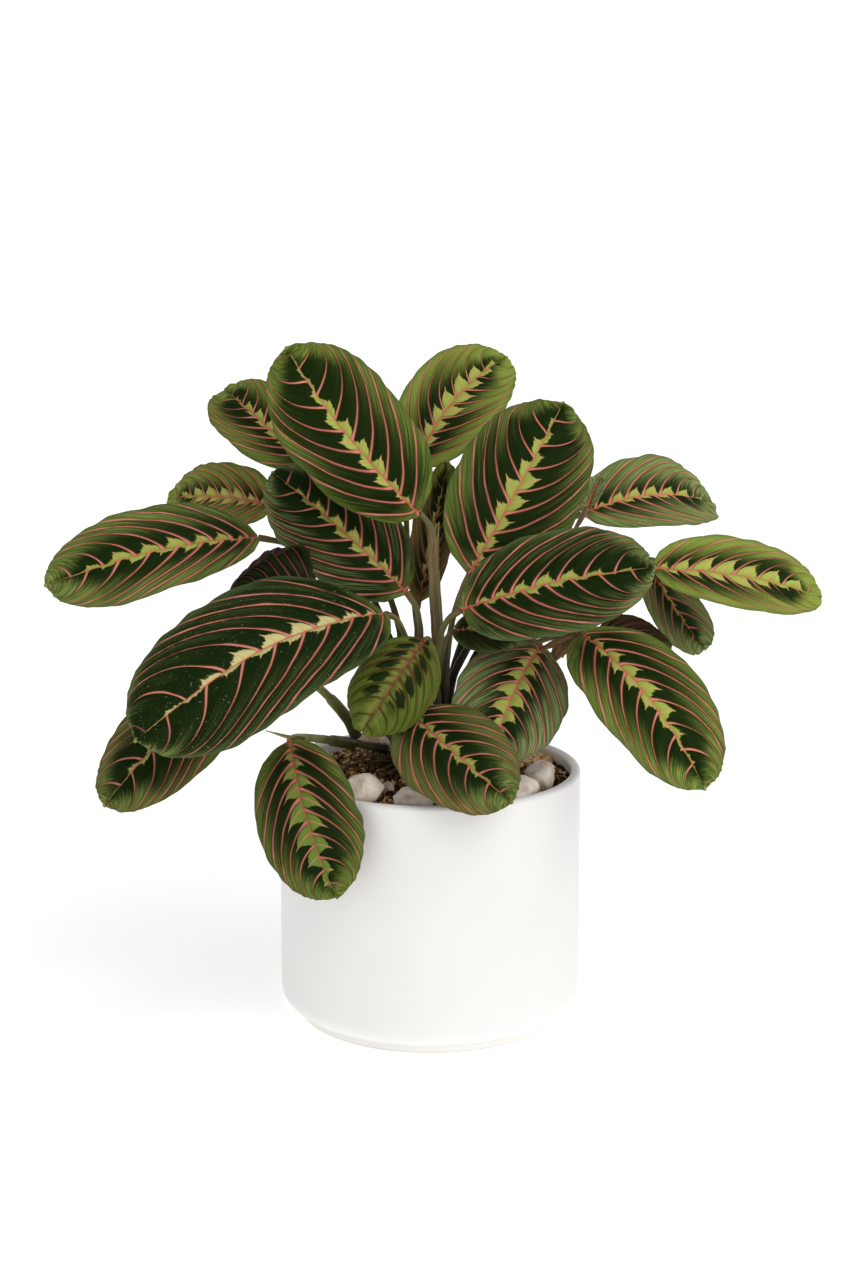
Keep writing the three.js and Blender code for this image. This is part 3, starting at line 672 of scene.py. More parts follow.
# Rags of old sheath and thin roots: short bent strands that stand round the crown or lie
# on the soil, thick at one end and pointed at the other.
draw = np.random.default_rng(CROWN_SEED)
crown_low, crown_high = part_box("crown")
crown_top = np.array([(crown_low.x + crown_high.x) / 2, (crown_low.y + crown_high.y) / 2, crown_high.z])
for number in range(RAG_COUNT):
    heading = draw.uniform(0, 2 * math.pi)
    way = np.array([math.cos(heading), math.sin(heading), 0])
    foot = crown_top + way * draw.uniform(9, 19) * MM - (0, 0, 4 * MM)
    rise = draw.uniform(8, 24) * MM
    rag_line = [foot, foot + way * 1.5 * MM + (0, 0, 0.5 * rise),
                foot + way * draw.uniform(1, 7) * MM + (0, 0, rise)]
    grown(f"sheath_rag_{number + 1}", rag_line, bark if number % 3 else papery,
          foot=draw.uniform(1.2, 2.2), end=0.15,
          values={"Unevenness": 0.8 * MM, "Sides": 8, "Step": 1.6 * MM})
for number in range(ROOT_COUNT):
    heading = draw.uniform(0, 2 * math.pi)
    bend = draw.uniform(-0.9, 0.9)
    root_line = []
    for distance in np.linspace(14, draw.uniform(30, 52), 7) * MM:
        turn = heading + bend * distance / (50 * MM)
        x, y = distance * math.cos(turn), 4 * MM + distance * math.sin(turn)
        root_line.append((x, y, soil_height(math.hypot(x, y)) + draw.uniform(0.3, 2.2) * MM))
    grown(f"surface_root_{number + 1}", root_line, papery, foot=0.7, end=0.25,
          values={"Sides": 8})


# ---------------------------------------------------------------------------------------
# The blades: thin oval leaves of a red-veined prayer plant. Side veins sweep forward from
# the midrib and the skin between them is quilted; the margin is entire and a little wavy.
# ---------------------------------------------------------------------------------------
UPWARD_AND_FORWARD = np.array([0, -1, 1])
TIP_POINT = 0.009
TIP_HALF_WIDTH = 0.06 * MM
VEIN_FORWARD_SWEEP = 1.0
VEIN_SLANT = 0.7
VEIN_HOOK = 1.8
VEIN_HOOK_POWER = 3.2
MARGIN_WANDER = 0.055
MARGIN_SCALLOP = 0.02
VEIN_CROWDING = 0.7
LEFT_VEIN_SHIFT = 0.5
ROW_OFFSETS = (0, 0.07, 0.18, 0.32, 0.43, 0.5, 0.57, 0.68, 0.82, 0.93)
COLUMNS = np.array([0, 0.02, 0.045, 0.08, 0.12, 0.16, 0.205, 0.25, 0.3, 0.355, 0.41, 0.47, 0.53, 0.6, 0.67,
                    0.74, 0.81, 0.88, 0.94, 0.98, 1])
LIFT_STATIONS = (0, 0.2, 0.5, 0.75, 1)
LIFT_HALFWAY = 0.4
SHADES = ("dark", "fresh", "grey", "young", "splash", "cream", "rust", "plum_and_shadow", "dust", "tone_and_painted_light", "veined",
          "own")


def blade_grid(leaf_ring):
    """The middle surface of a blade as rows of five points from left to right, seen from above."""
    middles = np.array([ring.mean(axis=0) for ring in leaf_ring])
    along = np.gradient(middles, axis=0)
    sideways = [np.linalg.svd(ring - ring.mean(axis=0), full_matrices=False)[2][0] for ring in leaf_ring]
    sideways[0], sideways[-1] = sideways[1], sideways[-2]
    rows = []
    for ring, middle, ahead, side in zip(leaf_ring, middles, along, sideways):
        upper = np.cross(side, ahead)
        upper = upper if upper @ UPWARD_AND_FORWARD > 0 else -upper
        right = np.cross(ahead, upper)
        side = side if side @ right > 0 else -side
        order = np.argsort((ring - middle) @ side)
        rows.append([ring[order[pair:pair + 2]].mean(axis=0) for pair in range(0, 2 * BLADE_COLUMNS, 2)])
    return np.array(rows)


def hermite(values, places, wanted):
    """Values at wanted places, smoothly through the given ones, along the first axis."""
    slopes = np.gradient(values, places, axis=0)
    step = np.clip(np.searchsorted(places, wanted, side="right") - 1, 0, len(places) - 2)
    gap = places[step + 1] - places[step]
    shape = (-1,) + (1,) * (values.ndim - 1)
    x = ((wanted - places[step]) / gap).reshape(shape)
    gap = gap.reshape(shape)
    return ((2 * x**3 - 3 * x**2 + 1) * values[step] + (x**3 - 2 * x**2 + x) * gap * slopes[step]
            + (3 * x**2 - 2 * x**3) * values[step + 1] + (x**3 - x**2) * gap * slopes[step + 1])


def surface_points(grid, share, across):
    """Points of the blade at shares of its length and of its half width, all given as flat arrays."""
    chord = grid[-1, 2] - grid[0, 2]
    reached = (grid[:, 2] - grid[0, 2]) @ chord / (chord @ chord)
    reached[0], reached[-1] = 0, 1
    angles = np.arccos(1 - 2 * reached)
    rows = hermite(grid, angles, np.arccos(1 - 2 * np.clip(share, 0, 1)))
    columns = np.linspace(-1, 1, BLADE_COLUMNS)
    slopes = np.gradient(rows, columns, axis=1)
    step = np.clip(((across + 1) * 2).astype(int), 0, BLADE_COLUMNS - 2)
    each = np.arange(len(across))
    x = ((across - columns[step]) * 2)[:, None]
    return ((2 * x**3 - 3 * x**2 + 1) * rows[each, step] + (x**3 - 2 * x**2 + x) * 0.5 * slopes[each, step]
            + (3 * x**2 - 2 * x**3) * rows[each, step + 1] + (x**3 - x**2) * 0.5 * slopes[each, step + 1])


def rolled(grid, points, share, across, side, start, turn, crest, spread):
    """Points with one margin rolled up (or down) past a start, by a turn that is fullest at the crest."""
    def fold_at(where, column):
        return surface_points(grid, where, np.full_like(where, column * side))

    def unit(vectors):
        return vectors / (np.linalg.norm(vectors, axis=1, keepdims=True) + 1e-9)

    inside = np.clip(share, 0.02, 0.98)
    fold = fold_at(share, start)
    ahead = unit(fold_at(inside + 0.02, start) - fold_at(inside - 0.02, start))
    outward = fold - fold_at(share, start - 0.1)
    outward = unit(outward - (outward * ahead).sum(axis=1, keepdims=True) * ahead)
    upper = np.cross(outward, ahead) * side
    offset, whole = points - fold, fold_at(share, 1) - fold
    forward = (offset * ahead).sum(axis=1, keepdims=True) * ahead
    length = np.linalg.norm(offset - forward, axis=1, keepdims=True)
    total = np.linalg.norm(whole - (whole * ahead).sum(axis=1, keepdims=True) * ahead, axis=1, keepdims=True)
    full = (turn * np.exp(-((share - crest) / spread) ** 2))[:, None]
    angle = full * length / (total + 1e-9) + 1e-6
    bent = fold + forward + length / angle * (np.sin(angle) * outward + (1 - np.cos(angle)) * upper)
    return np.where((across * side > start)[:, None], bent, points)


def blade_mesh(name, grid, veins, own, curls=()):
    """A fine open mesh of a blade's middle surface whose rows follow its side veins."""
    whole = int(veins)
    rows = [count + offset for count in range(whole + 1) for offset in ROW_OFFSETS]
    rows = np.array([row for row in rows if row < veins - 0.05] + [veins])
    middle = (rows / veins) ** (1 / VEIN_CROWDING)
    across = np.concatenate([-COLUMNS[:0:-1], COLUMNS])
    q, t = np.meshgrid(middle, across, indexing="ij")
    bend = VEIN_SLANT * np.abs(t) + VEIN_HOOK * np.abs(t) ** VEIN_HOOK_POWER
    share = 1 - (1 - q) * np.exp(-VEIN_FORWARD_SWEEP * q**0.6 * bend)
    uneven = np.array([noise.noise((5 * u + own, 3.1 * side, own)) + 0.5 * noise.noise((13 * u, own, side))
                       for u, side in zip(share.ravel(), np.sign(t).ravel())]).reshape(t.shape)
    order = q ** VEIN_CROWDING * veins + (t < 0) * LEFT_VEIN_SHIFT
    scallop = np.abs(np.sin(np.pi * order)) ** 1.5 * np.minimum(1, 4 * (1 - share))
    wander = MARGIN_WANDER * uneven + MARGIN_SCALLOP * (scallop - 0.5)
    widened = t * (1 + t**2 * wander * np.sin(np.pi * share) ** 0.3)
    points = surface_points(grid, share.ravel(), widened.ravel())
    for curl in curls:
        points = rolled(grid, points, share.ravel(), t.ravel(), *curl)
    points = points.reshape(*q.shape, 3)
    length = np.linalg.norm(grid[-1, 2] - grid[0, 2])
    centre = len(COLUMNS) - 1
    ahead = points[-2, centre] - points[-6, centre]
    ahead /= np.linalg.norm(ahead)
    right = points[-1, -1] - points[-1, 0]
    right /= np.linalg.norm(right)
    tip = points[-1, centre] + ahead * length * TIP_POINT + np.outer(across, right) * TIP_HALF_WIDTH
    points = np.concatenate([points, tip[None]])
    share = np.concatenate([share, np.full((1, len(across)), 1.0)])
    vein = np.repeat(np.append(rows, veins + 0.02)[:, None], len(across), axis=1)
    along_vein = np.gradient(points, axis=1)
    along_vein /= np.linalg.norm(along_vein, axis=2, keepdims=True) + 1e-12
    onward = np.gradient(points, axis=0) / np.gradient(vein, axis=0)[..., None]
    onward -= (onward * along_vein).sum(axis=2, keepdims=True) * along_vein
    pitch = np.linalg.norm(onward, axis=2)
    steps = np.linalg.norm(np.diff(points, axis=1), axis=2)
    reach = np.abs(np.concatenate([np.zeros((len(points), 1)), np.cumsum(steps, axis=1)], axis=1)
                   - np.cumsum(steps, axis=1)[:, centre - 1:centre])
    count = len(across)
    firsts = [row * count + column for row in range(len(points) - 1) for column in range(count - 1)]
    faces = [(first, first + 1, first + count + 1, first + count) for first in firsts]
    mesh = bpy.data.meshes.new(name)
    mesh.from_pydata(points.reshape(-1, 3), [], faces)
    values = {"vein": vein, "across": np.append(t, t[:1], axis=0), "share": share, "pitch": pitch / MM,
              "reach": reach / MM}
    for label, numbers in values.items():
        attribute = mesh.attributes.new(label, "FLOAT", "POINT")
        attribute.data.foreach_set("value", numbers.ravel().astype(np.float32))
    return mesh


def vein_order(tree, vein, across):
    """Where a place lies in its half's row of veins, as a number that is whole on each vein."""
    left = add(tree, "ShaderNodeMath", {0: across, 1: 0.0}, operation="LESS_THAN")
    return add(tree, "ShaderNodeMath", {0: left, 1: LEFT_VEIN_SHIFT, 2: vein}, operation="MULTIPLY_ADD")


# A blade: quilted between its veins, grooved along them, wavy at the margin, then given
# its thickness. The leaf's own shades travel with it as named attributes.
blade_sizes = ("Quilting", "Vein groove", "Midrib groove", "Ripple", "Waves", "Thickness", *SHADES)
blade, given = new_tree("quilted blade", {
    **dict.fromkeys(blade_sizes, "Float"), "Upper finish": "Material", "Under finish": "Material"})
tree = blade
vein, across, share, reach, pitch = (
    add(tree, "GeometryNodeInputNamedAttribute", {"Name": name})
    for name in ("vein", "across", "share", "reach", "pitch"))
order = vein_order(tree, vein, across)
away = add(tree, "ShaderNodeMath", {0: across}, operation="ABSOLUTE")
near = add(tree, "ShaderNodeMath", {0: order, 1: 0.5}, operation="PINGPONG")
from_vein = add(tree, "ShaderNodeMath", {0: near, 1: pitch}, operation="MULTIPLY")
from_midrib, to_margin, ends, groove, channel = (
    add(tree, "ShaderNodeMapRange", {0: source, 1: start, 2: end}, interpolation_type="SMOOTHSTEP")
    for source, start, end in ((away, 0.0, 0.16), (away, 1.0, 0.7), (share, 0.0, 0.12), (from_vein, 0.9, 0.0),
                               (reach, 2.2, 0.0)))
roomy = add(tree, "ShaderNodeMapRange", {0: pitch, 1: 2.0, 2: 8.0, 3: 0.15, 4: 1.0})
rise = add(tree, "ShaderNodeMath", {0: near, 1: 2.0}, operation="MULTIPLY")
rise = add(tree, "ShaderNodeMath", {0: rise, 1: 0.6}, operation="POWER")
for factor in (from_midrib, to_margin, roomy, given["Quilting"]):
    rise = add(tree, "ShaderNodeMath", {0: rise, 1: factor}, operation="MULTIPLY")
for factor in (to_margin, given["Vein groove"]):
    groove = add(tree, "ShaderNodeMath", {0: groove, 1: factor}, operation="MULTIPLY")
channel = add(tree, "ShaderNodeMath", {0: channel, 1: given["Midrib groove"]}, operation="MULTIPLY")
rim = add(tree, "ShaderNodeMath", {0: away, 1: 3.0}, operation="POWER")
rim = add(tree, "ShaderNodeMath", {0: rim, 1: given["Ripple"]}, operation="MULTIPLY")
own_place = add(tree, "ShaderNodeCombineXYZ", {"X": vein, "Y": across, "Z": given["own"]})
wave, ripple = (add(tree, "ShaderNodeTexNoise", {"Vector": own_place, "Scale": closeness, "Detail": 1})
                for closeness in (0.42, 1.1))
lift = rise
for part in (groove, channel):
    lift = add(tree, "ShaderNodeMath", {0: lift, 1: part}, operation="SUBTRACT")
for swing, strength in ((wave, given["Waves"]), (ripple, rim)):
    swing = add(tree, "ShaderNodeMath", {0: swing, 1: 0.5}, operation="SUBTRACT")
    for factor in (strength, ends):
        swing = add(tree, "ShaderNodeMath", {0: swing, 1: factor}, operation="MULTIPLY")
    lift = add(tree, "ShaderNodeMath", {0: lift, 1: swing}, operation="ADD")
shift = add(tree, "ShaderNodeVectorMath", {0: add(tree, "GeometryNodeInputNormal"), "Scale": lift},
            operation="SCALE")
skin_mesh = add(tree, "GeometryNodeSetPosition", {"Geometry": given["Geometry"], "Offset": shift})
for name in SHADES:
    skin_mesh = add(tree, "GeometryNodeStoreNamedAttribute",
                    {"Geometry": skin_mesh, "Name": name, "Value": given[name]})
under = add(tree, "GeometryNodeFlipFaces", {"Mesh": skin_mesh})
under = add(tree, "GeometryNodeSetMaterial", {"Geometry": under, "Material": given["Under finish"]})
upper = add(tree, "GeometryNodeExtrudeMesh",
            {"Mesh": skin_mesh, "Offset Scale": given["Thickness"], "Individual": False})
upper = add(tree, "GeometryNodeSetMaterial", {"Geometry": upper, "Material": given["Upper finish"]})
both = add(tree, "GeometryNodeJoinGeometry", {0: upper})
tree.links.new(under, both.node.inputs[0])
both = add(tree, "GeometryNodeMergeByDistance", {"Geometry": both, "Distance": 0.001 * MM})
both = add(tree, "GeometryNodeSetShadeSmooth", {"Geometry": both})
add(tree, "NodeGroupOutput", {0: add(tree, "GeometryNodeRealizeInstances", {0: both})})

# The upper skin: satin green with salmon-red veins. Yellow-green lobes sit on the tip side
# of each vein along the midrib, nearly black green lies beyond them, and the margin is a
# greyer green. Fine pale streaks run with the veins, and new leaves are light with blotches.
upper_skin, tree = finish_of("satin red-veined leaf skin")
vein, across, share, pitch, reach, *shades = (
    add(tree, "ShaderNodeAttribute", attribute_name=name).node.outputs["Fac"]
    for name in ("vein", "across", "share", "pitch", "reach", *SHADES))
dark, fresh, grey, young, splash, cream, rust, plum_and_shadow, dust, tone_and_painted_light, veined, own = shades
place = add(tree, "ShaderNodeTexCoord").node.outputs["Object"]
order = vein_order(tree, vein, across)
away = add(tree, "ShaderNodeMath", {0: across}, operation="ABSOLUTE")
drift = add(tree, "ShaderNodeTexNoise", {"Vector": place, "Scale": 1 / (16 * MM), "Detail": 1})
drift = add(tree, "ShaderNodeMath", {0: drift, 1: 0.5}, operation="SUBTRACT")
order = add(tree, "ShaderNodeMath", {0: drift, 1: 0.16, 2: order}, operation="MULTIPLY_ADD")
cell = add(tree, "ShaderNodeMath", {0: order}, operation="FLOOR")
part = add(tree, "ShaderNodeMath", {0: order}, operation="FRACT")
near = add(tree, "ShaderNodeMath", {0: order, 1: 0.5}, operation="PINGPONG")
from_vein = add(tree, "ShaderNodeMath", {0: near, 1: pitch}, operation="MULTIPLY")
left = add(tree, "ShaderNodeMath", {0: across, 1: 0.0}, operation="LESS_THAN")
differing = add(tree, "ShaderNodeCombineXYZ", {"X": cell, "Y": left, "Z": own})
differing = add(tree, "ShaderNodeTexWhiteNoise", {"Vector": differing}).node.outputs["Value"]

# fine streaks that run along the veins, and the same a step coarser
lane = add(tree, "ShaderNodeCombineXYZ", {"X": order, "Y": away, "Z": own})
fine = add(tree, "ShaderNodeVectorMath", {0: lane, 1: (25.0, 2.0, 1.0)}, operation="MULTIPLY")
fine = add(tree, "ShaderNodeTexNoise", {"Vector": fine, "Scale": 1.0, "Detail": 3, "Roughness": 0.6})
broad = add(tree, "ShaderNodeVectorMath", {0: lane, 1: (13.0, 4.0, 1.0)}, operation="MULTIPLY")
broad = add(tree, "ShaderNodeTexNoise", {"Vector": broad, "Scale": 1.0, "Detail": 3, "Roughness": 0.55})
jag = add(tree, "ShaderNodeMath", {0: broad, 1: 0.5}, operation="SUBTRACT")

# how each mark comes and goes: the value it follows, from where to where, and its strength there
fade = {name: add(tree, "ShaderNodeMapRange", {0: source, 1: start, 2: end, 3: first, 4: last})
        for name, source, start, end, first, last in (
            ("streak", fine, 0.45, 0.6, 0.0, 0.8),
            ("thread", fine, 0.46, 0.58, 0.0, 0.85),
            ("young thread", fine, 0.4, 0.62, 0.0, 0.75),
            ("deeper", differing, 0.0, 1.0, 0.16, -0.16),
            ("longer", differing, 0.0, 1.0, 0.78, 1.18),
            ("lighter tip", share, 0.78, 1.0, 0.0, 0.75),
            ("short at tip", share, 0.6, 0.99, 1.0, 0.45),
            ("short at base", share, 0.0, 0.3, 0.42, 0.84),
            ("narrower", share, 0.4, 0.8, 0.0, 0.034),
            ("fan", share, 0.1, 0.0, 0.0, 0.8),
            ("blotched", share, 0.8, 0.7, 0.0, 0.95),
            ("finer vein", share, 0.45, 0.95, 1.0, 0.62),
            ("vein end", share, 0.88, 0.98, 1.0, 0.2),
            ("rib width", share, 0.0, 1.0, 1.05, 0.5),
            ("yellow rib", share, 0.78, 0.98, 0.0, 1.0),
            ("taper", away, 0.0, 1.0, 0.82, 0.56),
            ("vein margin", away, 0.84, 0.99, 1.0, 0.15),
            ("inner green", away, 0.3, 0.1, 0.0, 0.6),
            ("plum_shade", away, 0.1, 0.9, 0.0, 1.0),
            ("greyed", grey, 0.45, 0.9, 0.12, 1.0),
            ("splashed", splash, 0.0, 0.1, 0.0, 1.0),
            ("newest", young, 0.8, 0.95, 0.0, 1.0),
            ("thin vein", young, 0.0, 0.6, 1.0, 0.85),
            ("crowded", pitch, 1.2, 2.6, 0.15, 1.0),
            ("rough", broad, 0.3, 0.7, 0.46, 0.56))}
bundle, outside, aged, edge = (
    add(tree, "ShaderNodeMapRange", {0: source, 1: start, 2: end, 4: last}, interpolation_type="SMOOTHSTEP")
    for source, start, end, last in ((near, 0.16, 0.42, 1.0), (away, 0.3, 0.6, 1.0), (away, 0.45, 1.0, 1.0),
                                     (away, 0.86, 1.0, 0.55)))

# the dark ground, the bundles of pale threads beyond it, and rust towards an old leaf's margin
deep = add(tree, "ShaderNodeMath", {0: broad, 1: 0.5, 2: 0.2}, operation="MULTIPLY_ADD")
for part_of_depth in (dark, fade["deeper"]):
    deep = add(tree, "ShaderNodeMath", {0: deep, 1: part_of_depth}, operation="ADD")
for part_of_depth in (fade["lighter tip"], away):
    deep = add(tree, "ShaderNodeMath", {0: deep, 1: part_of_depth}, operation="SUBTRACT")
deep = add(tree, "ShaderNodeMapRange", {0: deep, 1: 0.05, 2: 0.62}, interpolation_type="SMOOTHSTEP")
for factor in (outside, fade["thread"], fade["greyed"]):
    bundle = add(tree, "ShaderNodeMath", {0: bundle, 1: factor}, operation="MULTIPLY")
aged = add(tree, "ShaderNodeMath", {0: aged, 1: rust}, operation="MULTIPLY")

# the lobes: how far from the midrib each place between two veins is yellow green
lobe = add(tree, "ShaderNodeFloatCurve", {"Value": part})
curve = lobe.node.mapping.curves[0]
curve.points[0].location = (0.0, 0.045)
curve.points[1].location = (1.0, 0.045)
for between, extent in ((0.05, 0.09), (0.12, 0.155), (0.22, 0.205), (0.33, 0.225), (0.41, 0.24), (0.455, 0.3),
                        (0.5, 0.22), (0.6, 0.165), (0.72, 0.12), (0.84, 0.08), (0.93, 0.055)):
    curve.points.new(between, extent)
for point in curve.points:
    point.handle_type = "VECTOR"
lobe.node.mapping.update()
extent = lobe
for factor in (fade["short at tip"], fade["short at base"], splash, fade["longer"]):
    extent = add(tree, "ShaderNodeMath", {0: extent, 1: factor}, operation="MULTIPLY")
extent = add(tree, "ShaderNodeMath", {0: extent, 1: fade["narrower"]}, operation="SUBTRACT")
extent = add(tree, "ShaderNodeMath", {0: jag, 1: 0.1, 2: extent}, operation="MULTIPLY_ADD")
inside = add(tree, "ShaderNodeMath", {0: extent, 1: away}, operation="SUBTRACT")
lobes = add(tree, "ShaderNodeMapRange", {0: inside, 1: -0.006, 2: 0.016}, interpolation_type="SMOOTHSTEP")
lobes = add(tree, "ShaderNodeMath", {0: lobes, 1: fade["splashed"]}, operation="MULTIPLY")
deep_lobe = add(tree, "ShaderNodeMath", {0: cream, 1: -1.0}, operation="MULTIPLY")
fan = add(tree, "ShaderNodeMath", {0: fade["fan"], 1: broad}, operation="MULTIPLY")

# a new leaf's row of dark oval blotches on both sides of the midrib
wide = add(tree, "ShaderNodeMath", {0: part, 1: 0.52}, operation="SUBTRACT")
wide = add(tree, "ShaderNodeMath", {0: wide, 1: 0.34}, operation="DIVIDE")
tall = add(tree, "ShaderNodeMath", {0: away, 1: 0.31}, operation="SUBTRACT")
tall = add(tree, "ShaderNodeMath", {0: tall, 1: 0.2}, operation="DIVIDE")
oval = add(tree, "ShaderNodeCombineXYZ", {"X": wide, "Y": tall})
oval = add(tree, "ShaderNodeVectorMath", {0: oval}, operation="LENGTH").node.outputs["Value"]
oval = add(tree, "ShaderNodeMath", {0: jag, 1: 1.7, 2: oval}, operation="MULTIPLY_ADD")
blotch = add(tree, "ShaderNodeMapRange", {0: oval, 1: 1.02, 2: 0.84}, interpolation_type="SMOOTHSTEP")
blotch = add(tree, "ShaderNodeMath", {0: blotch, 1: fade["blotched"]}, operation="MULTIPLY")
open_skin = add(tree, "ShaderNodeMath", {0: 1.0, 1: blotch}, operation="SUBTRACT")
inner_green = add(tree, "ShaderNodeMath", {0: fade["inner green"], 1: open_skin}, operation="MULTIPLY")

# side veins and the midrib, with a short second vein in the middle of each lobe
width = fade["taper"]
for factor in (fade["finer vein"], fade["thin vein"]):
    width = add(tree, "ShaderNodeMath", {0: width, 1: factor}, operation="MULTIPLY")
ratio = add(tree, "ShaderNodeMath", {0: from_vein, 1: width}, operation="DIVIDE")
fading = fade["vein margin"]
for factor in (fade["vein end"], fade["crowded"], veined):
    fading = add(tree, "ShaderNodeMath", {0: fading, 1: factor}, operation="MULTIPLY")
short = add(tree, "ShaderNodeMapRange", {0: inside, 1: -0.01, 2: 0.02})
second = add(tree, "ShaderNodeMath", {0: part, 1: 0.45}, operation="SUBTRACT")
second = add(tree, "ShaderNodeMath", {0: second}, operation="ABSOLUTE")
second = add(tree, "ShaderNodeMath", {0: second, 1: pitch}, operation="MULTIPLY")
rib = add(tree, "ShaderNodeMath", {0: reach, 1: fade["rib width"]}, operation="DIVIDE")
lines, outline, second, rib = (
    add(tree, "ShaderNodeMapRange", {0: source, 1: start, 2: end, 4: last}, interpolation_type="SMOOTHSTEP")
    for source, start, end, last in ((ratio, 1.15, 0.6, 1.0), (ratio, 2.1, 1.1, 0.45),
                                     (second, 0.4, 0.16, 0.55), (rib, 1.1, 0.7, 1.0)))
lines = add(tree, "ShaderNodeMath", {0: lines, 1: fading}, operation="MULTIPLY")
outline = add(tree, "ShaderNodeMath", {0: outline, 1: fading}, operation="MULTIPLY")
second = add(tree, "ShaderNodeMath", {0: second, 1: short}, operation="MULTIPLY")

# dust specks, and a near-black plum towards the margin: partly the leaf's own plum tint, mostly painted shade
# over a leaf in shadow
specks = add(tree, "ShaderNodeTexNoise",
             {"Vector": place, "Scale": 1 / (1.1 * MM), "Detail": 3, "Roughness": 0.75})
specks = add(tree, "ShaderNodeMapRange", {0: specks, 1: 0.66, 2: 0.72})
specks = add(tree, "ShaderNodeMath", {0: specks, 1: dust}, operation="MULTIPLY")
plum_shade = add(tree, "ShaderNodeMath", {0: fade["plum_shade"], 1: plum_and_shadow}, operation="MULTIPLY")

# each colour starts from one tint and is mixed with the next ones
tint = {"mid": "#394b10", "pale": "#868c3e", "black": "#0b1801", "edge": "#46551f", "lobe": "#84983c",
        "new": "#6c8028", "vein": "#c66d5b", "new vein": "#9c5f3a", "rib": "#c9705c"}
for name, strength, colour in (
        ("mid", fresh, "#5a6f16"), ("mid", grey, "#425538"), ("mid", young, "#84943a"),
        ("pale", grey, "#94a269"),
        ("black", grey, "#09180a"), ("black", broad, "#1c2d06"),
        ("edge", grey, "#56694a"),
        ("lobe", broad, "#b2b85c"), ("lobe", deep_lobe, "#5f7c30"), ("lobe", cream, "#cdc588"),
        ("new", broad, "#93a048"), ("new", fade["young thread"], "#4a6220"), ("new", blotch, "#1a2a0c"),
        ("new", inner_green, "#a9ad58"),
        ("vein", broad, "#dd9382"), ("new vein", broad, "#b5784a"),
        ("rib", fade["yellow rib"], "#8a8748")):
    tint[name] = add(tree, "ShaderNodeMix", {0: strength, 6: tint[name], 7: colour}, data_type="RGBA")
vein_colour = add(tree, "ShaderNodeMix", {0: fade["newest"], 6: tint["vein"], 7: tint["new vein"]},
                  data_type="RGBA")

# the layers of colour, from the ground up
leaf_colour = tint["mid"]
for strength, colour in (
        (fade["streak"], tint["pale"]), (deep, tint["black"]), (bundle, tint["pale"]), (edge, tint["edge"]),
        (fan, "#8f9c48"), (lobes, tint["lobe"]), (fade["newest"], tint["new"]), (aged, "#6b4a2c"),
        (second, vein_colour), (outline, "#46301a"), (lines, vein_colour), (rib, tint["rib"]),
        (specks, "#9aa58c"), (plum_shade, "#22100f")):
    leaf_colour = add(tree, "ShaderNodeMix", {0: strength, 6: leaf_colour, 7: colour}, data_type="RGBA")
# painted light: the colour is scaled by the leaf's tone and painted light, darker for a leaf standing in
# shade and lighter for one in full light
leaf_colour = add(tree, "ShaderNodeVectorMath", {0: leaf_colour, "Scale": tone_and_painted_light}, operation="SCALE")

# the gloss: a soft sheen that breaks up over the skin's tiny cells
cells = add(tree, "ShaderNodeTexNoise", {"Vector": place, "Scale": 1 / (0.5 * MM), "Detail": 2})
height = add(tree, "ShaderNodeMath", {0: fine, 1: 0.7, 2: cells}, operation="MULTIPLY_ADD")
surfaced(tree, (0.35, 0.12 * MM, height), {
    "Base Color": leaf_colour, "Roughness": fade["rough"], "IOR": 1.42, "Specular IOR Level": 0.06})

# The underside: deep maroon with paler raised veins, duller than the top, and painted near black as shade
# where the leaf's tone and painted light is low.
under_skin, tree = finish_of("dull maroon leaf underside")
vein, across, pitch, reach, young, grey, tone_and_painted_light = (
    add(tree, "ShaderNodeAttribute", attribute_name=name).node.outputs["Fac"]
    for name in ("vein", "across", "pitch", "reach", "young", "grey", "tone_and_painted_light"))
order = vein_order(tree, vein, across)
near = add(tree, "ShaderNodeMath", {0: order, 1: 0.5}, operation="PINGPONG")
from_vein = add(tree, "ShaderNodeMath", {0: near, 1: pitch}, operation="MULTIPLY")
from_line = add(tree, "ShaderNodeMath", {0: from_vein, 1: reach}, operation="MINIMUM")
lines = add(tree, "ShaderNodeMapRange", {0: from_line, 1: 0.7, 2: 0.3}, interpolation_type="SMOOTHSTEP")
lane = add(tree, "ShaderNodeCombineXYZ", {"X": order, "Y": across})
lane = add(tree, "ShaderNodeVectorMath", {0: lane, 1: (20.0, 3.0, 1.0)}, operation="MULTIPLY")
broad = add(tree, "ShaderNodeTexNoise", {"Vector": lane, "Scale": 1.0, "Detail": 3})
pale = add(tree, "ShaderNodeMapRange", {0: grey, 1: 0.75, 2: 0.95})
# painted shade: a leaf painted darker on top gets an underside painted near black too
shaded = add(tree, "ShaderNodeMapRange", {0: tone_and_painted_light, 1: 0.8, 2: 0.55, 3: 0.0, 4: 0.85})
line_colour = add(tree, "ShaderNodeMix", {0: pale, 6: "#96705a", 7: "#b2b68e"}, data_type="RGBA")
under_colour = "#3a1626"
for strength, colour in ((broad, "#6a3142"), (young, "#74704a"), (pale, "#8a8f6c"), (lines, line_colour),
                         (shaded, "#140a0c")):
    under_colour = add(tree, "ShaderNodeMix", {0: strength, 6: under_colour, 7: colour}, data_type="RGBA")
height = add(tree, "ShaderNodeMath", {0: lines, 1: broad}, operation="ADD")
surfaced(tree, (0.4, 0.2 * MM, height), {
    "Base Color": under_colour, "Roughness": 0.6, "IOR": 1.42, "Specular IOR Level": 0.2})

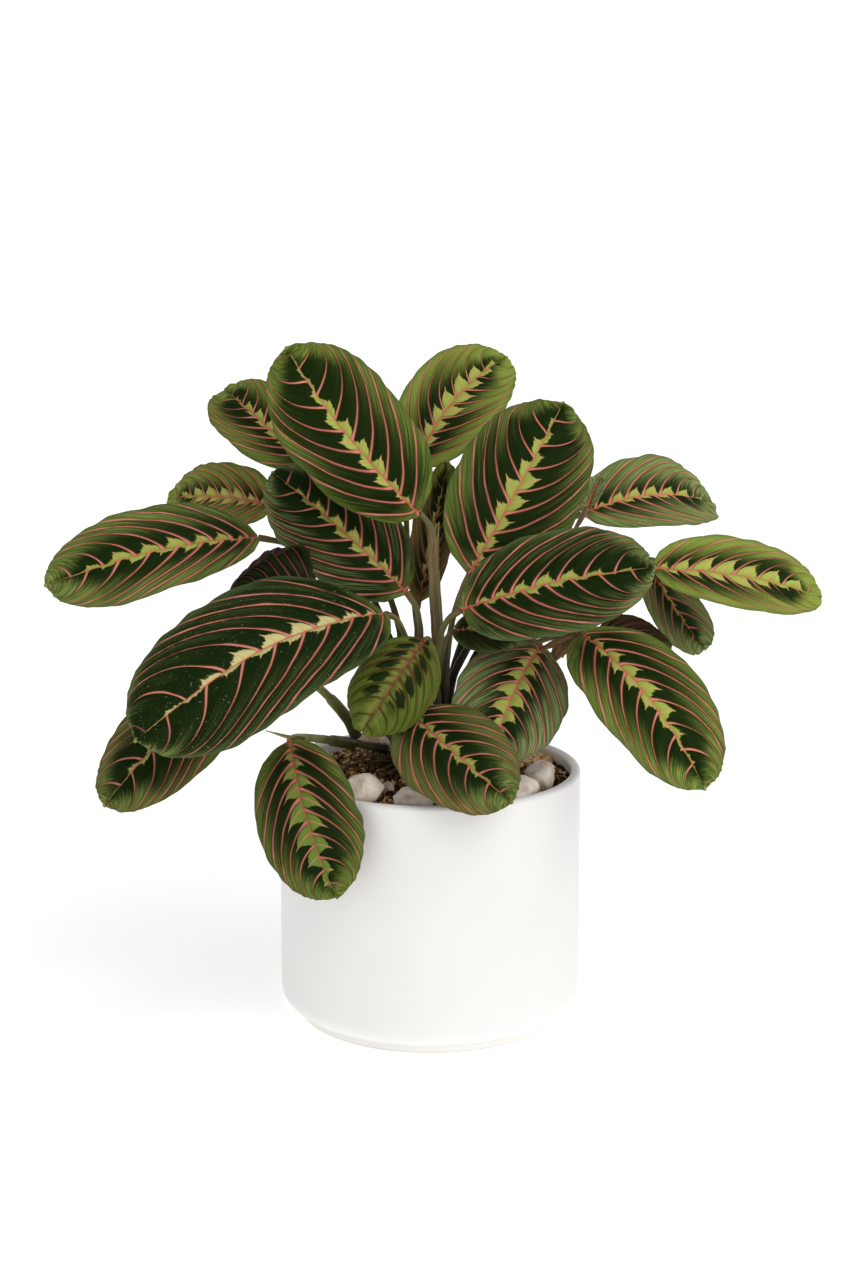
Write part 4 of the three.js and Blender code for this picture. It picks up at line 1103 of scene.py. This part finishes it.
# What each leaf looks like: its shades, its number of side veins, and in metres how much it
# is quilted, waved and rippled. A lift is a side and the heights of its margin in
# millimetres. A curl is a side, where it starts, how far it turns, and where along the leaf.
# Tone and painted light scales a leaf's colour: partly its own tone, partly painted shade for a leaf in
# shadow and painted light for one in full light.
PLAIN = dict(dark=0.6, fresh=0.2, grey=0.2, young=0.0, splash=1.0, cream=0.0, rust=0.0, plum_and_shadow=0.0, dust=0.0,
             tone_and_painted_light=1.0, veined=1.0, veins=8.7, Quilting=1.5 * MM, Waves=3.4 * MM, Ripple=2.2 * MM,
             lift=(1, (0, 0, 0)), curls=())
LOOKS = {
    "top_left": dict(dark=0.72, tone_and_painted_light=1.06, grey=0.12, fresh=0.25, splash=0.8),
    "upper_left_back": dict(dark=0.45, fresh=0.7, splash=0.8, young=0.1),
    "top_young": dict(dark=0.44, fresh=1.0, young=0.6, splash=1.35, tone_and_painted_light=1.12),
    "top_right": dict(dark=0.72, fresh=0.2, splash=0.95),
    "left_back": dict(dark=0.25, fresh=0.6, young=0.35, rust=0.1, splash=1.2, tone_and_painted_light=1.1),
    "far_left": dict(dark=0.52, grey=0.3, fresh=0.3, splash=0.8, tone_and_painted_light=1.03),
    "middle_left": dict(dark=0.92, splash=0.75, grey=0.7, tone_and_painted_light=0.9),
    "curled_left": dict(dark=1.0, grey=0.6, plum_and_shadow=0.4, tone_and_painted_light=0.55, veined=0.8, Ripple=0.8 * MM,
                        lift=(1, (12, 12, -1.2)), curls=((1, 0.5, 2.9, 0.7, 0.7),)),
    "front_left_large": dict(dark=1.35, grey=0.5, cream=0.85, splash=0.66, dust=1.0, veins=9.2),
    "lower_left": dict(dark=0.65, cream=0.3, grey=0.3, splash=0.8, tone_and_painted_light=0.95, rust=0.15),
    "centre_young": dict(young=1.0, tone_and_painted_light=0.56, veins=7.8, Quilting=2.8 * MM,
                         curls=((-1, 0.35, -0.9, 0.6, 0.8), (1, 0.35, -1.0, 0.6, 0.8))),
    "front_centre": dict(dark=0.5, fresh=0.5, grey=0.35, rust=0.3, splash=0.7, tone_and_painted_light=0.9, veins=8.0),
    "front_right": dict(dark=0.42, grey=0.85, fresh=0.6, splash=1.35, tone_and_painted_light=1.0, veins=8.0),
    "middle_right": dict(dark=0.88, grey=0.55, splash=0.72),
    "lower_right": dict(dark=0.6, fresh=0.4, splash=0.95, tone_and_painted_light=1.2),
    "far_right_young": dict(dark=0.48, fresh=1.0, young=0.65, splash=1.7, tone_and_painted_light=1.22, veins=8.0),
    "upper_right_back": dict(dark=0.3, fresh=0.4, grey=0.6, young=0.1, splash=0.8, tone_and_painted_light=1.25),
    "right_folded": dict(dark=0.4, grey=0.6, fresh=0.4, splash=0.6, tone_and_painted_light=1.0, veined=0.55, veins=7.0),
    "small_curled": dict(dark=0.0, grey=1.0, splash=0.0, tone_and_painted_light=1.2, veined=0.3, veins=7.8),
    "front_left_hanging": dict(dark=0.62, fresh=0.5, cream=-0.75, splash=1.6, tone_and_painted_light=0.85, veins=8.0),
    "middle_back": dict(dark=0.6, fresh=0.4, rust=0.6, tone_and_painted_light=0.9, veined=0.35),
    "inner_small": dict(dark=0.9, grey=0.5, tone_and_painted_light=0.75, veined=0.08, curls=((1, 0.2, -0.7, 0.5, 0.8),)),
    "right_back_low": dict(dark=0.8, rust=0.4, plum_and_shadow=0.8, tone_and_painted_light=0.9, veined=0.35, lift=(-1, (1, -2, -4))),
}
for number, leaf in enumerate(leaf_names):
    looks = {**PLAIN, **LOOKS[leaf], "own": 3.7 * number}
    grid = blade_grid(leaf_rings[leaf])
    side, heights = looks.pop("lift")
    height = np.interp(np.linspace(0, 1, len(grid)), LIFT_STATIONS, (0, *heights, 0)) * MM
    grid[:, 2 + 2 * side, 2] += height
    grid[:, 2 + side, 2] += LIFT_HALFWAY * height
    source = blade_mesh("blade_" + leaf, grid, looks.pop("veins"), looks["own"], looks.pop("curls"))
    values = {**looks, "Vein groove": 0.3 * MM, "Midrib groove": 0.9 * MM, "Thickness": 0.5 * MM,
              "Upper finish": upper_skin, "Under finish": under_skin}
    blade_piece = shaped("blade_" + leaf, source, blade, values)
    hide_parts("leaf_" + leaf)


# ---------------------------------------------------------------------------------------
# The setting: a broad white paper floor under a large soft lamp from the front right, in
# a bright room. The camera stands where the photograph was taken from.
# ---------------------------------------------------------------------------------------
CAMERA_PLACE = (-2.8 * MM, -1120.2 * MM, 425.5 * MM)
CAMERA_TILT = math.radians(77.7)
CAMERA_LENS = 71.1
FLOOR_HALF = 6.0
LAMP_STRENGTH = 1.2
LAMP_SPREAD = math.radians(50)
LAMP_HEADING = (0.55, -0.65, 0.95)

paper, tree = finish_of("white studio paper")
surface = add(tree, "ShaderNodeBsdfPrincipled", {
    "Base Color": "#fbfbfb", "Roughness": 0.9, "Emission Color": "#ffffff", "Emission Strength": 0.4})
add(tree, "ShaderNodeOutputMaterial", {0: surface})
floor_mesh = bpy.data.meshes.new("studio_floor")
corners = [(x * FLOOR_HALF, y * FLOOR_HALF, 0) for x, y in ((-1, -1), (1, -1), (1, 1), (-1, 1))]
floor_mesh.from_pydata(corners, [], [(0, 1, 2, 3)])
floor_mesh.materials.append(paper)
floor = bpy.data.objects.new("studio_floor", floor_mesh)
collection.objects.link(floor)

lens = bpy.data.cameras.new("photograph")
lens.lens = CAMERA_LENS
lens.clip_start = 0.01
camera = bpy.data.objects.new("photograph", lens)
camera.location = CAMERA_PLACE
camera.rotation_euler = (CAMERA_TILT, 0, 0)
collection.objects.link(camera)
bpy.context.scene.camera = camera

sun = bpy.data.lights.new("key_softbox", "SUN")
sun.energy = LAMP_STRENGTH
sun.angle = LAMP_SPREAD
key = bpy.data.objects.new("key_softbox", sun)
key.rotation_euler = Vector(LAMP_HEADING).to_track_quat("Z", "Y").to_euler()
collection.objects.link(key)
world = bpy.data.worlds.new("bright studio")
world.use_nodes = True
tree = world.node_tree
heading = add(tree, "ShaderNodeTexCoord").node.outputs["Generated"]
level = add(tree, "ShaderNodeSeparateXYZ", {0: heading}).node.outputs["Z"]
glow = add(tree, "ShaderNodeMapRange", {0: level, 1: 0.3, 2: 0.6, 3: 1.05, 4: 0.35})
tree.nodes["Background"].inputs["Color"].default_value = (1, 1, 1, 1)
tree.links.new(glow, tree.nodes["Background"].inputs["Strength"])
bpy.context.scene.world = world
bpy.context.scene.view_settings.view_transform = "Standard"
